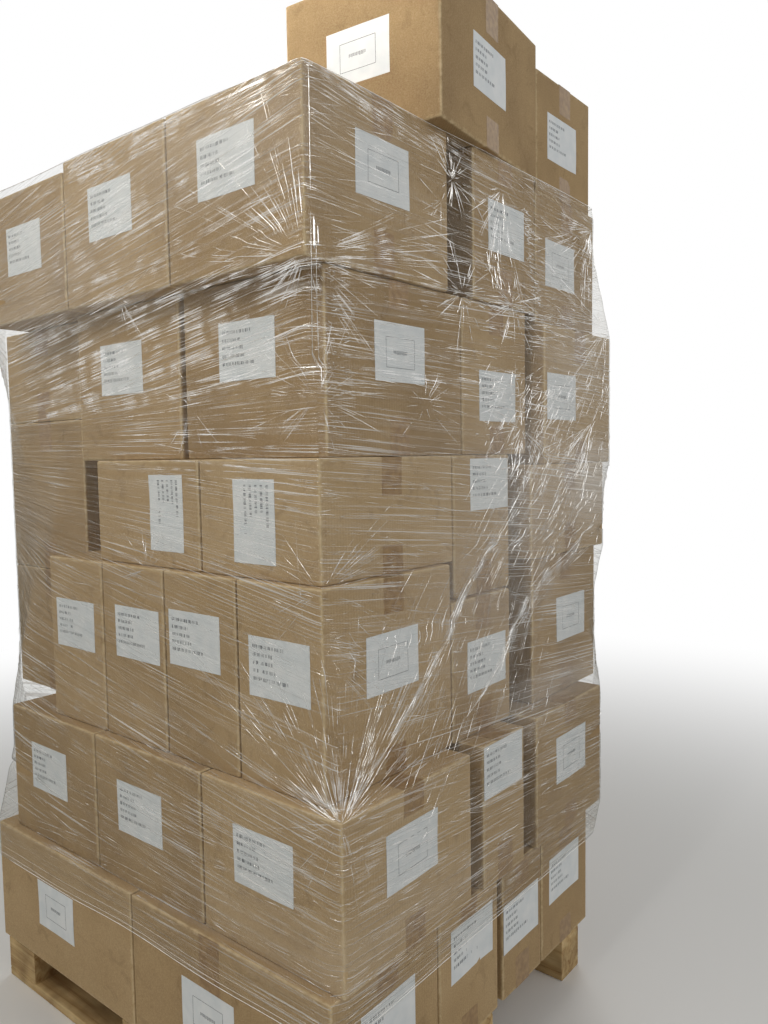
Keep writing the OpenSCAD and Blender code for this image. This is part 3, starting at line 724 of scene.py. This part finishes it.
# Makes the sleeve, and returns its turns and the heights of its lower and upper edge there
def make_film(film, levels, clear):
    shares = [0, 0.004, 0.009] + [0.018 + 0.964 * i / 80 for i in range(81)] + [0.991, 0.996]
    turns = np.array([side + share for side in range(4) for share in shares])
    columns = len(turns)
    # The lowest and highest edges of the film wander a little
    wander = random.Random(SEED + 2)
    waves = [(wander.randint(2, 9), wander.uniform(0, 6.3), wander.uniform(0.3, 1)) for _ in range(6)]
    edge = sum(size * np.sin(turns * math.pi / 2 * count + shift) for count, shift, size in waves)
    low = film.low + 4 * MM + 3 * MM * edge
    high = film.high - 1.2 * MM - np.abs(1.4 * MM * np.roll(edge, 37))
    # Shallow folds run along the pull, and ripple as they go
    ripples = [np.sin(turns * math.pi / 2 * count + count) for count in (23, 41)]
    points, pulls = [], []
    for share in np.linspace(0, 1, FILM_RINGS):
        z = low + (high - low) * share
        across = z - pull_rise(turns, z, levels)
        folds = np.sin(across * 95 + ripples[0] * 0.6) + np.sin(across * 61 + ripples[1] * 0.8 + 1)
        points.append(film.at(turns, z, folds * 0.35 * MM + 0.7 * MM))
        pulls.append(np.stack([turns * SIDE_LENGTH, across], axis=-1))
    grid, pull = np.concatenate(points), np.concatenate(pulls)

    # How deeply each point is shaded by (turn, height, half width, half height, depth)
    def painted(places):
        shade = np.zeros(len(grid))
        for turn, z, wide, tall, depth in places:
            away = np.abs((np.tile(turns, FILM_RINGS) - turn + 2) % 4 - 2) / wide
            shade = np.maximum(shade, depth * np.exp(-away ** 2 - ((grid[:, 2] - z) / tall) ** 2))
        return shade

    # The film is doubled and cloudy over some stretches, and lies smooth over others
    clouds = [(0.9, levels[3] + 0.13, 0.22, 0.11, 1.7), (0.62, levels[3] + 0.1, 0.25, 0.2, 0.9),
              (0.45, levels[3] - 0.05, 0.2, 0.2, 0.6), (0.72, levels[2] + 0.05, 0.28, 0.05, 0.9),
              (0.86, levels[4] + 0.12, 0.2, 0.14, 0.6), (0.15, levels[1] + 0.06, 0.4, 0.05, 0.25),
              (3.8, levels[6] - 0.08, 0.3, 0.1, 0.5), (3.3, levels[5] + 0.05, 0.3, 0.2, 0.4),
              (1.4, levels[4], 0.4, 0.2, 0.6), (1.8, levels[2], 0.3, 0.2, 0.5),
              (2.4, levels[5], 0.4, 0.2, 0.6), (2.8, levels[3], 0.3, 0.2, 0.5),
              (2.2, levels[1] + 0.06, 0.5, 0.06, 0.5)]
    smooth = [(0.16, levels[6] - 0.11, 0.16, 0.1, 0.95), (3.86, levels[6] - 0.17, 0.13, 0.1, 0.85),
              (0.14, levels[3] - 0.12, 0.1, 0.09, 0.6), (3.85, levels[3] - 0.2, 0.14, 0.12, 0.5)]
    faces = [(i * columns + j, i * columns + (j + 1) % columns, (i + 1) * columns + (j + 1) % columns,
              (i + 1) * columns + j) for i in range(FILM_RINGS - 1) for j in range(columns)]
    piece = new_piece("stretch_film_sleeve", grid, faces, clear,
                      {"veiled": painted(clouds), "calm": painted(smooth)}, merge=False, smooth=True)
    corners = np.zeros(len(piece.data.loops), int)
    piece.data.loops.foreach_get("vertex_index", corners)
    where = pull[corners]
    # The last column of each ring closes on the first, so its far corners are one whole round on
    last = np.tile(np.repeat(np.arange(columns) == columns - 1, 4), FILM_RINGS - 1)
    where[last & (where[:, 0] < SIDE_LENGTH), 0] += 4 * SIDE_LENGTH
    piece.data.uv_layers.new(name="pull").data.foreach_set("uv", where.ravel())
    dress(piece, "clear_film", "stretch_film")
    return turns, low, high


# A crease of the film: turns and heights of its points, and its width at each
Crease = namedtuple("Crease", "turn z width")


# A crease from a place, at an angle from the way of the turn, that may bend a little
def straight(turn, z, angle, length, width, bend=0.0):
    t = np.linspace(0, 1, max(3, round(length / (26 * MM))) + 1)
    along = length * t
    curve = bend * length * 4 * t * (1 - t)
    return Crease(turn + (along * math.cos(angle) - curve * math.sin(angle)) / SIDE_LENGTH,
                  z + along * math.sin(angle) + curve * math.cos(angle),
                  width * np.maximum(0.12, np.sin(math.pi * np.clip(t, 0.03, 0.97)) ** 0.6))


# Star of creases where the film is pulled over a corner that stands out. They start away from its middle.
def burst(dice, turn, z, count, reach, low_angle, high_angle, inner, width):
    rays = []
    for _ in range(count):
        angle = math.radians(dice.uniform(low_angle, high_angle))
        start = reach * (inner + 0.4 * dice.random() ** 2)
        length = reach * (0.15 + 0.85 * dice.random() ** 2.2)
        rays.append(straight(turn + start * math.cos(angle) / SIDE_LENGTH, z + start * math.sin(angle), angle,
                             length, width * dice.uniform(0.4, 1.1), dice.uniform(-0.015, 0.015)))
    return rays


# Creases over a stretch of the film, along the pull or turned from it by an angle
def field(dice, levels, turns, tiers, count, lengths, widths, spread, turned=0.0):
    made = []
    for _ in range(count):
        turn = dice.uniform(*turns)
        z = float(np.interp(dice.uniform(*tiers), range(len(levels)), levels))
        angle = math.atan(float(pull_slope(turn, z, levels))) + math.radians(turned) + dice.gauss(0, spread)
        length = lengths[0] + (lengths[1] - lengths[0]) * dice.random() ** 2
        width = widths[0] + (widths[1] - widths[0]) * dice.random() ** 3
        start = 0.5 * length
        made.append(straight(turn - start * math.cos(angle) / SIDE_LENGTH, z - start * math.sin(angle), angle,
                             length, width, dice.uniform(-0.012, 0.012)))
    return made


# Creases side by side along a bent path of (turn, height), as where the film is gathered to a rope
def rope(dice, path, count, spread, lengths, widths):
    turns, heights = np.array(path).T
    reach = reach_along(turns * SIDE_LENGTH, heights)
    strands = []
    for _ in range(count):
        length = dice.uniform(*lengths)
        start = dice.uniform(0, max(0.01, reach[-1] - length))
        along = np.linspace(start, min(start + length, reach[-1]), max(4, round(length / (20 * MM))))
        side = dice.gauss(0, 1) * (spread[0] + (spread[1] - spread[0]) * along / reach[-1]) * 0.7
        taper = np.sin(math.pi * np.linspace(0.04, 0.96, len(along))) ** 0.6
        strands.append(Crease(np.interp(along, reach, turns) - side / SIDE_LENGTH,
                              np.interp(along, reach, heights) + side, dice.uniform(*widths) * taper))
    return strands


# Short bright lengths of creases: painted glints, white strokes that stand in for where the creases catch the
# light
def glints(dice, creases, count, lengths, widths):
    made = []
    for _ in range(count):
        crease = dice.choice(creases)
        reach = reach_along(crease.turn * SIDE_LENGTH, crease.z)
        length = min(reach[-1], lengths[0] + (lengths[1] - lengths[0]) * dice.random() ** 2)
        start = dice.random() ** 1.3 * (reach[-1] - length)
        along = np.linspace(start, start + length, max(3, round(length / (22 * MM)) + 1))
        taper = np.sin(math.pi * np.linspace(0.06, 0.94, len(along))) ** 0.6
        made.append(Crease(np.interp(along, reach, crease.turn), np.interp(along, reach, crease.z),
                           dice.uniform(*widths) * taper))
    return made


# Flat ribbons on the film, one for each crease, as a piece
def ribbons(name, film, creases, lift, material):
    points, faces = [], []
    for crease in creases:
        keep = (crease.z > film.low + 6 * MM) & (crease.z < film.high - 3 * MM)
        if keep.sum() < 2:
            continue
        turn, z, width = crease.turn[keep], crease.z[keep], crease.width[keep]
        middle = film.at(turn, z, lift)
        out = film.at(turn, z, lift + 5 * MM) - middle
        side = np.cross(out, np.gradient(middle, axis=0))
        side /= np.maximum(np.linalg.norm(side, axis=1, keepdims=True), 1e-9)
        start = len(points)
        for m, s, w in zip(middle, side, width):
            points += [m - s * w / 2, m + s * w / 2]
        faces += [(a, a + 2, a + 3, a + 1) for a in range(start, start + 2 * len(z) - 2, 2)]
    dress(new_piece(name, points, faces, material, merge=False), "clear_film")


# A node tree that takes a mesh and named sizes
def new_tree(name, sizes):
    tree = bpy.data.node_groups.new(name, "GeometryNodeTree")
    tree.interface.new_socket("Geometry", in_out="INPUT", socket_type="NodeSocketGeometry")
    for label, size in sizes.items():
        kind = "NodeSocketInt" if isinstance(size, int) else "NodeSocketFloat"
        tree.interface.new_socket(label, in_out="INPUT", socket_type=kind).default_value = size
    tree.interface.new_socket("Geometry", in_out="OUTPUT", socket_type="NodeSocketGeometry")
    return tree, add(tree, "NodeGroupInput").outputs


# Ends a tree with real geometry of one material, runs it on a mesh and keeps the result as a plain piece
def through_tree(name, mesh, tree, shape, material, sizes):
    real = add(tree, "GeometryNodeRealizeInstances", {"Geometry": shape})
    done = add(tree, "GeometryNodeSetMaterial", {"Geometry": real, "Material": material})
    add(tree, "NodeGroupOutput", {"Geometry": done})
    holder = link_object(name + "_path", mesh)
    modifier = holder.modifiers.new("nodes", "NODES")
    modifier.node_group = tree
    for item in tree.interface.items_tree:
        if item.item_type == "SOCKET" and item.in_out == "INPUT" and item.name in sizes:
            modifier[item.identifier] = sizes[item.name]
    bpy.context.view_layer.update()
    graph = bpy.context.evaluated_depsgraph_get()
    result = bpy.data.meshes.new_from_object(holder.evaluated_get(graph))
    result.name = name
    holder.modifiers.remove(modifier)
    bpy.data.objects.remove(holder)
    return link_object(name, result)


# Threads made by nodes: curves through the creases, with a small round section. They give the rolled film of
# the rims and the white strokes of the painted glints.
def threads(name, film, creases, lift, material):
    points, edges, radii = [], [], []
    for crease in creases:
        keep = (crease.z > film.low + 4 * MM) & (crease.z < film.high - 1 * MM)
        if keep.sum() < 2:
            continue
        edges += [(k, k + 1) for k in range(len(points), len(points) + keep.sum() - 1)]
        points += [tuple(p) for p in film.at(crease.turn[keep], crease.z[keep], lift)]
        radii += list(crease.width[keep] / 2)
    mesh = bpy.data.meshes.new(name + "_path")
    mesh.from_pydata(points, edges, [])
    widths = mesh.attributes.new("thread_radius", "FLOAT", "POINT")
    widths.data.foreach_set("value", np.array(radii, np.float32))
    sizes = {"Sides": 4, "Radius scale": 1.0}
    tree, given = new_tree("rolled_film_and_painted_glint_threads", sizes)
    radius = add(tree, "GeometryNodeInputNamedAttribute", {"Name": "thread_radius"}, data_type="FLOAT")
    scaled = add(tree, "ShaderNodeMath", {0: radius, 1: given["Radius scale"]}, operation="MULTIPLY")
    curves = add(tree, "GeometryNodeMeshToCurve", {"Mesh": given["Geometry"]})
    sized = add(tree, "GeometryNodeSetCurveRadius", {"Curve": curves, "Radius": scaled})
    section = add(tree, "GeometryNodeCurvePrimitiveCircle", {"Resolution": given["Sides"], "Radius": 1.0})
    tubes = add(tree, "GeometryNodeCurveToMesh", {"Curve": sized, "Profile Curve": section, "Scale": scaled,
                                                  "Fill Caps": True})
    smooth = add(tree, "GeometryNodeSetShadeSmooth", {"Geometry": tubes})
    dress(through_tree(name, mesh, tree, smooth, material, sizes), "clear_film")


def make_creases(film, levels, edges, veil, thin, bright):
    dice = random.Random(SEED + 3)
    wide, fine, painted_glints = [], [], []
    # Least and greatest widths
    hair, plain, thread = (0.5 * MM, 1.2 * MM), (0.6 * MM, 1.3 * MM), (0.6 * MM, 1.6 * MM)
    steep, broad = (0.6 * MM, 1.7 * MM), (0.9 * MM, 2.4 * MM)

    # Lines over a stretch between two turns and two levels, 6 being the top of tier 6 and 1 the top of tier 1
    def over(turns, tiers, count, lengths, widths, spread, turned=0.0):
        return field(dice, levels, turns, tiers, count, lengths, widths, spread, turned)

    # Adds folds to the fine ones, with painted glints along them: bright strokes that stand in for highlights
    def crease(folds, count, lengths=(0.006, 0.05), widths=plain):
        fine.extend(folds)
        painted_glints.extend(glints(dice, folds, count, lengths, widths))

    wide += over((0, 4), (0.9, 6), 90, (0.2, 0.7), (2 * MM, 7 * MM), 0.05)
    wide += over((3.4, 4), (4.2, 6), 34, (0.3, 0.7), (3 * MM, 10 * MM), 0.04)
    crease(over((0, 4), (0.85, 6), 620, (0.05, 0.45), hair, 0.06), 160)
    crease(over((0.9, 3.2), (0.85, 6), 260, (0.1, 0.6), thread, 0.1), 120)
    # Front: long lines that climb to the near corner on tiers 5 and 6, and level ones on tier 4
    crease(over((3.25, 4), (4.1, 6), 150, (0.1, 0.45), thread, 0.05), 90)
    crease(over((3.3, 3.95), (4.05, 5.0), 110, (0.3, 0.9), thread, 0.025, 1), 110, (0.01, 0.1))
    crease(over((3.3, 3.95), (5.1, 6.0), 60, (0.3, 0.8), thread, 0.03, -1), 60, (0.01, 0.1))
    crease(over((3.3, 4), (5.8, 6.0), 60, (0.15, 0.5), thread, 0.02, -9), 44)
    crease(over((3.5, 4), (3.0, 4.0), 80, (0.1, 0.4), thread, 0.03), 30)
    crease(over((3.74, 3.86), (3.3, 3.9), 9, (0.2, 0.34), (1.2 * MM, 2.0 * MM), 0.02), 60)
    crease(over((3.2, 4), (1.0, 3.0), 170, (0.1, 0.5), thread, 0.06), 60)
    crease(over((3.7, 4), (1.4, 1.8), 40, (0.1, 0.35), hair, 0.03, 7), 20)
    # Right side of tiers 5 and 6: level lines, and parallel ones along the top edge
    crease(over((0, 0.4), (4.05, 5.0), 120, (0.06, 0.35), hair, 0.03), 90)
    crease(over((0, 0.42), (5.05, 5.9), 45, (0.1, 0.35), hair, 0.04, -3), 16)
    crease(over((0, 0.42), (5.84, 5.99), 50, (0.1, 0.3), thread, 0.03, -4), 50)
    crease(over((0.45, 1), (4.0, 5.0), 150, (0.03, 0.2), thread, 0.06), 220, widths=broad)
    crease(over((0.45, 1), (5.0, 6.0), 110, (0.05, 0.3), thread, 0.25, -10), 80, widths=broad)
    # Painted glints: short bright dashes just behind the near edge, all the way down
    painted_glints += over((0.008, 0.045), (1.1, 5.9), 110, (0.006, 0.024), (0.5 * MM, 1.1 * MM), 0.15)
    painted_glints += over((0.012, 0.075), (4.05, 5.0), 130, (0.005, 0.02), (0.7 * MM, 1.7 * MM), 0.2)
    # Painted glints where the film turns in over the farther cartons of tier 5
    painted_glints += over((0.38, 0.74), (4.88, 5.0), 150, (0.006, 0.03), broad, 0.12)
    painted_glints += over((0.485, 0.525), (5.08, 5.32), 30, (0.01, 0.035), (1.2 * MM, 3.2 * MM), 0.12, 88)
    # Right side of tiers 2 and 3: lines that fall a little, and a fan that falls from the near edge
    crease(over((0, 0.95), (0.9, 2.0), 210, (0.06, 0.4), thread, 0.06), 150)
    crease(over((0, 0.75), (2.3, 3.6), 150, (0.08, 0.4), hair, 0.04, -4), 110)
    fan = []
    for share in np.linspace(0, 1, 22):
        angle = math.radians(-42 + 30 * share + dice.gauss(0, 2))
        fan.append(straight(0.012, levels[2] + 0.215 + 0.08 * share, angle, dice.uniform(0.08, 0.2),
                            dice.uniform(0.5, 1.1) * MM))
    crease(fan, 30)
    # Stiff rays up and to the left of the near corner between tiers 5 and 6
    rays = []
    for degrees in np.linspace(92, 172, 22):
        angle, start = math.radians(degrees + dice.gauss(0, 1.5)), dice.uniform(0.04, 0.08)
        turn, z = start * math.cos(angle) / SIDE_LENGTH, levels[5] + start * math.sin(angle)
        rays.append(straight(turn, z, angle, dice.uniform(0.07, 0.14), dice.uniform(0.9, 1.8) * MM))
    crease(rays, 40, (0.02, 0.08), (0.7 * MM, 1.7 * MM))
    # The film hangs in steep folds over the stepped cartons of tiers 3 and 4 on the right
    crease(over((0.16, 0.66), (2.0, 2.9), 110, (0.1, 0.4), steep, 0.05, 52), 150, (0.008, 0.06))
    crease(over((0.42, 0.75), (2.8, 3.9), 90, (0.1, 0.4), steep, 0.05, 52), 150, (0.008, 0.06))
    crease(over((0.5, 1.0), (2.9, 4.3), 190, (0.04, 0.22), steep, 0.16, 50), 360, (0.004, 0.035), broad)
    crease(over((0.42, 0.72), (3.5, 4.4), 160, (0.02, 0.12), thread, 0.4, 26), 240, (0.004, 0.025), broad)

    # Stars at the corners that stand out: place, rays, reach, first and last angle, inner gap, painted glints
    stars = [
        (0, levels[5] - 6 * MM, 30, 0.36, 100, 190, 0.14, 34),
        (0, levels[5], 22, 0.1, 190, 262, 0.1, 20),
        (0, levels[5], 24, 0.2, -75, 0, 0.1, 18),
        (0, levels[5], 46, 0.42, 0, 27, 0.15, 16),
        (0, levels[4], 22, 0.16, -70, 75, 0.1, 12),
        (0, levels[4], 22, 0.18, 110, 250, 0.1, 12),
        (0, levels[3], 30, 0.2, -60, 50, 0.06, 40),
        (0, levels[3], 16, 0.14, 130, 230, 0.06, 12),
        (-0.46 / SIDE_LENGTH, levels[5], 18, 0.12, 0, 360, 0.08, 22),
        (-0.42 / SIDE_LENGTH, levels[3], 16, 0.12, 0, 360, 0.08, 18),
        (-0.30 / SIDE_LENGTH, levels[4], 12, 0.12, 0, 360, 0.08, 8),
        (0, levels[2], 80, 0.36, 50, 178, 0.03, 160),
        (0, levels[2], 60, 0.4, 4, 56, 0.04, 130),
        (0, levels[2], 50, 0.12, 0, 180, 0.01, 120),
        (0, levels[2], 26, 0.15, 180, 360, 0.05, 16),
        (0.985, levels[6] - 60 * MM, 54, 0.36, 176, 262, 0.02, 110),
        (1.06 / SIDE_LENGTH, levels[5], 44, 0.3, 150, 265, 0.05, 44),
        (0.387, levels[6] - 88 * MM, 50, 0.08, 0, 360, 0.02, 120),
        (0.345, levels[6] - 0.14, 18, 0.07, 0, 360, 0.02, 26),
        (0.62 / SIDE_LENGTH, levels[6] - 60 * MM, 34, 0.2, 190, 290, 0.04, 50),
        (0.42 / SIDE_LENGTH, levels[5], 44, 0.14, 0, 360, 0.04, 90),
        (0.60 / SIDE_LENGTH, levels[5], 36, 0.13, 0, 360, 0.04, 70),
        (0.28 / SIDE_LENGTH, levels[4], 16, 0.12, 0, 360, 0.06, 20),
        (0.62 / SIDE_LENGTH, levels[4] - 40 * MM, 40, 0.16, 0, 360, 0.03, 110),
        (0.98 / SIDE_LENGTH, levels[4] - 20 * MM, 44, 0.34, 196, 248, 0.03, 110),
        (2, levels[6], 50, 0.4, 200, 265, 0.08, 40),
        (2, levels[4], 50, 0.3, 80, 280, 0.08, 40),
        (3, levels[5], 50, 0.35, 180, 350, 0.08, 40),
        (3, levels[2], 60, 0.4, 20, 160, 0.08, 60),
        (1, levels[2], 50, 0.3, 20, 170, 0.08, 40)]
    for *star, glint_count in stars:
        # On the far half of the right side creases are wider
        width, bold = (2.0 * MM, broad) if 0.36 < star[0] < 1.2 else (1.2 * MM, plain)
        crease(burst(dice, *star, width), glint_count, (0.005, 0.045), bold)

    # Two ropes of gathered film: path, strands, spread at its ends, painted glints and the strands' widths
    lift = levels[2] - 0.713
    ropes = [
        ([(0.003, 0.717), (0.076, 0.772), (0.18, 0.846), (0.317, 0.949), (0.432, 1.058), (0.531, 1.163),
          (0.634, 1.278)], 44, (1.2 * MM, 10 * MM), 90, (0.6 * MM, 1.5 * MM)),
        ([(0.333, 0.782), (0.404, 0.815), (0.479, 0.859), (0.551, 0.92), (0.616, 0.963), (0.701, 1.0),
          (0.811, 1.04), (0.932, 1.09)], 76, (3 * MM, 20 * MM), 190, (0.5 * MM, 1.4 * MM))]
    for path, count, spread, glint_count, widths in ropes:
        path = [(turn, z + lift) for turn, z in path]
        crease(rope(dice, path, count, spread, (0.08, 0.34), widths), glint_count, (0.01, 0.07), widths)
        wide += rope(dice, path, 9, (1 * MM, spread[1] * 0.8), (0.2, 0.5), (4 * MM, 12 * MM))
    # A column of painted glints, bright dashes where tier 6 steps in before its last carton
    for _ in range(110):
        turn, z = dice.gauss(0.653, 8 * MM), dice.uniform(levels[5] + 0.01, levels[6] - 0.08)
        angle, length = math.radians(dice.gauss(-6, 14)), dice.uniform(0.006, 0.03)
        painted_glints.append(straight(turn, z, angle, length, dice.uniform(*broad)))
    # Painted glints: upright bright strokes along the near edge of tiers 5 and 6
    for turn, z, length, width in (
            (0.014, levels[5] + 0.012, 0.05, 3.6 * MM), (0.022, levels[5] + 0.02, 0.03, 2 * MM),
            (0.009, levels[5] + 0.1, 0.19, 1.2 * MM), (0.006, levels[4] + 0.02, 0.27, 1 * MM),
            (0.016, levels[4] + 0.04, 0.22, 0.9 * MM)):
        edge = straight(turn, z, math.radians(89.4), length, width)
        painted_glints += [edge] + glints(dice, [edge], 8, (0.008, 0.03), (width, 1.8 * width))

    turns, low, high = edges
    rims = [Crease(turns, height + 0.4 * MM, np.full(len(turns), width)) for height, width in
            ((high, 1.6 * MM), (low, 1.4 * MM), (low + 9 * MM, 0.8 * MM), (low + 26 * MM, 0.5 * MM))]
    ribbons("film_overlap_bands", film, wide, BAND_LIFT, veil)
    ribbons("film_fine_creases_and_painted_streaks", film, fine, FOLD_LIFT, thin)
    # The painted glints become white threads of the tight fold material
    threads("film_painted_glints", film, painted_glints, GLINT_LIFT, bright)
    threads("film_rims", film, rims, RIM_LIFT, bright)


# The pallet's boards keep the CAD model's shape. Nail heads sit on each deck board where it crosses a
# stringer.
def make_pallet(pine_x, pine_y, zinc):
    for node, material in (("deck_boards", pine_y), ("stringer_boards", pine_x), ("pallet_blocks", pine_x),
                           ("bottom_boards", pine_x)):
        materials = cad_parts[node].data.materials
        materials.clear()
        materials.append(material)
    spots = []
    for board in [Box(*solid) for solid in solids("deck_boards")]:
        for stringer in [Box(*solid) for solid in solids("stringer_boards")]:
            for across, along in ((-0.5, 0.3), (0.5, -0.3)):
                spots.append((board.middle[0] + across * board.half[0],
                              stringer.middle[1] + along * stringer.half[1],
                              board.middle[2] + board.half[2] + 0.1 * MM))
    mesh = bpy.data.meshes.new("nail_places")
    mesh.from_pydata(spots, [], [])
    sizes = {"Head radius": NAIL_HEAD}
    tree, given = new_tree("nail_heads", sizes)
    head = add(tree, "GeometryNodeMeshCylinder", {"Vertices": 12, "Radius": given["Head radius"],
                                                  "Depth": 0.8 * MM})
    placed = add(tree, "GeometryNodeInstanceOnPoints", {"Points": given["Geometry"], "Instance": head})
    dress(through_tree("pallet_nails", mesh, tree, placed, zinc, sizes), "pallet_wood")


# The camera stands where the photograph was taken
def make_camera():
    location = Vector((1.4218, -1.3689, 1.2836))
    heading, pitch, roll = math.radians(39.07), math.radians(4.03), math.radians(-0.89)
    flat = math.cos(pitch)
    ahead = Vector((-math.sin(heading) * flat, math.cos(heading) * flat, -math.sin(pitch)))
    level = Vector((math.cos(heading), math.sin(heading), 0))
    upward = level.cross(ahead)
    right = math.cos(roll) * level + math.sin(roll) * upward
    up = -math.sin(roll) * level + math.cos(roll) * upward
    lens = bpy.data.cameras.new("photo_camera")
    lens.sensor_width, lens.sensor_fit, lens.lens, lens.clip_start = 36, "AUTO", 28.626, 0.05
    camera = link_object("photo_camera", lens)
    camera.matrix_world = Matrix([(*row, 0) for row in (right, up, -ahead)] + [(*location, 1)]).transposed()
    bpy.context.scene.camera = camera


# An area lamp: place, target, size, power, colour and how wide it spreads in degrees
def lamp(name, place, target, size, power, colour, spread=180):
    light = bpy.data.lights.new(name, "AREA")
    light.shape = "RECTANGLE"
    light.size, light.size_y = size
    light.energy = power
    light.color = linear(colour)[:3]
    light.spread = math.radians(spread)
    toward = (Vector(target) - Vector(place)).to_track_quat("-Z", "Y").to_matrix().to_4x4()
    link_object(name, light).matrix_world = Matrix.Translation(place) @ toward


def make_studio():
    lamp("key_softbox", (-0.2, -1.7, 3.0), (0.05, -0.4, 1.85), (1.8, 1.0), 20, "#FFFAF2")
    lamp("top_softbox", (-0.9, -2.0, 2.6), (0.3, -0.1, 2.3), (0.5, 0.3), 1.1, "#FFFAF2", 24)
    lamp("side_softbox", (3.4, 0.6, 3.0), (0, 0.1, 1.1), (1.6, 2.2), 20, "#FAF9FB")
    lamp("back_softbox", (-1.5, 3.6, 3.2), (0, 0.1, 1.2), (2.4, 1.6), 42, "#FFFFFF")
    lamp("strip_front", (0.6, -3.2, 2.6), (0.3, -0.4, 1.3), (0.12, 2.0), 11, "#FFFFFF")
    lamp("strip_side", (3.2, -1.2, 2.4), (0.5, 0, 1.2), (0.12, 2.0), 11, "#FFFFFF")
    world = bpy.data.worlds.new("studio")
    bpy.context.scene.world = world
    world.use_nodes = True
    tree = world.node_tree
    tree.nodes.clear()
    fill = add(tree, "ShaderNodeBackground", {"Color": "#F4F4F2", "Strength": 0.25})
    white = add(tree, "ShaderNodeBackground", {"Color": "#FFFFFF", "Strength": 1.0})
    path = add(tree, "ShaderNodeLightPath").outputs
    seen = add(tree, "ShaderNodeMath", {0: path["Is Camera Ray"], 1: path["Is Glossy Ray"]},
               operation="MAXIMUM")
    either = add(tree, "ShaderNodeMath", {0: seen, 1: path["Is Transmission Ray"]}, operation="MAXIMUM")
    mixed = add(tree, "ShaderNodeMixShader", {0: either, 1: fill, 2: white})
    add(tree, "ShaderNodeOutputWorld", {"Surface": mixed})
    corners = [(x * FLOOR_REACH, y * FLOOR_REACH, 0) for x, y in ((-1, -1), (1, -1), (1, 1), (-1, 1))]
    floor = new_piece("studio_floor", corners, [(0, 1, 2, 3)], floor_paint(), merge=False)
    bpy.context.scene.view_settings.view_transform = "Standard"


make_camera()
make_studio()
make_pallet(sawn_pine("sawn_pine_along_x", (0.06, 1.0, 1.0)),
            sawn_pine("sawn_pine_along_y", (1.0, 0.06, 1.0)), nail_zinc())
cartons = make_cartons(kraft_board())
make_tape(cartons, packing_tape())
make_labels(cartons, label_paper(), printed_ink())
levels = [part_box("tier_1_cartons")[0].z]
levels += [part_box(f"tier_{tier}_cartons")[1].z for tier in range(1, TIERS + 1)]
film = Film(cartons)
edges = make_film(film, levels, stretch_film("clear_stretch_film", 0.6))
# The fine folds' white is partly painted highlight, and the tight folds' white is painted glint wherever the
# glints use it
make_creases(film, levels, edges, film_fold("film_in_two_layers", 0.02, 0.16, 0.0),
             film_fold("film_fine_fold_and_painted_streaks", 0.05, 0.8, 0.6), film_fold("film_tight_fold_and_painted_glints", 1.0, 1.0, 0.9))
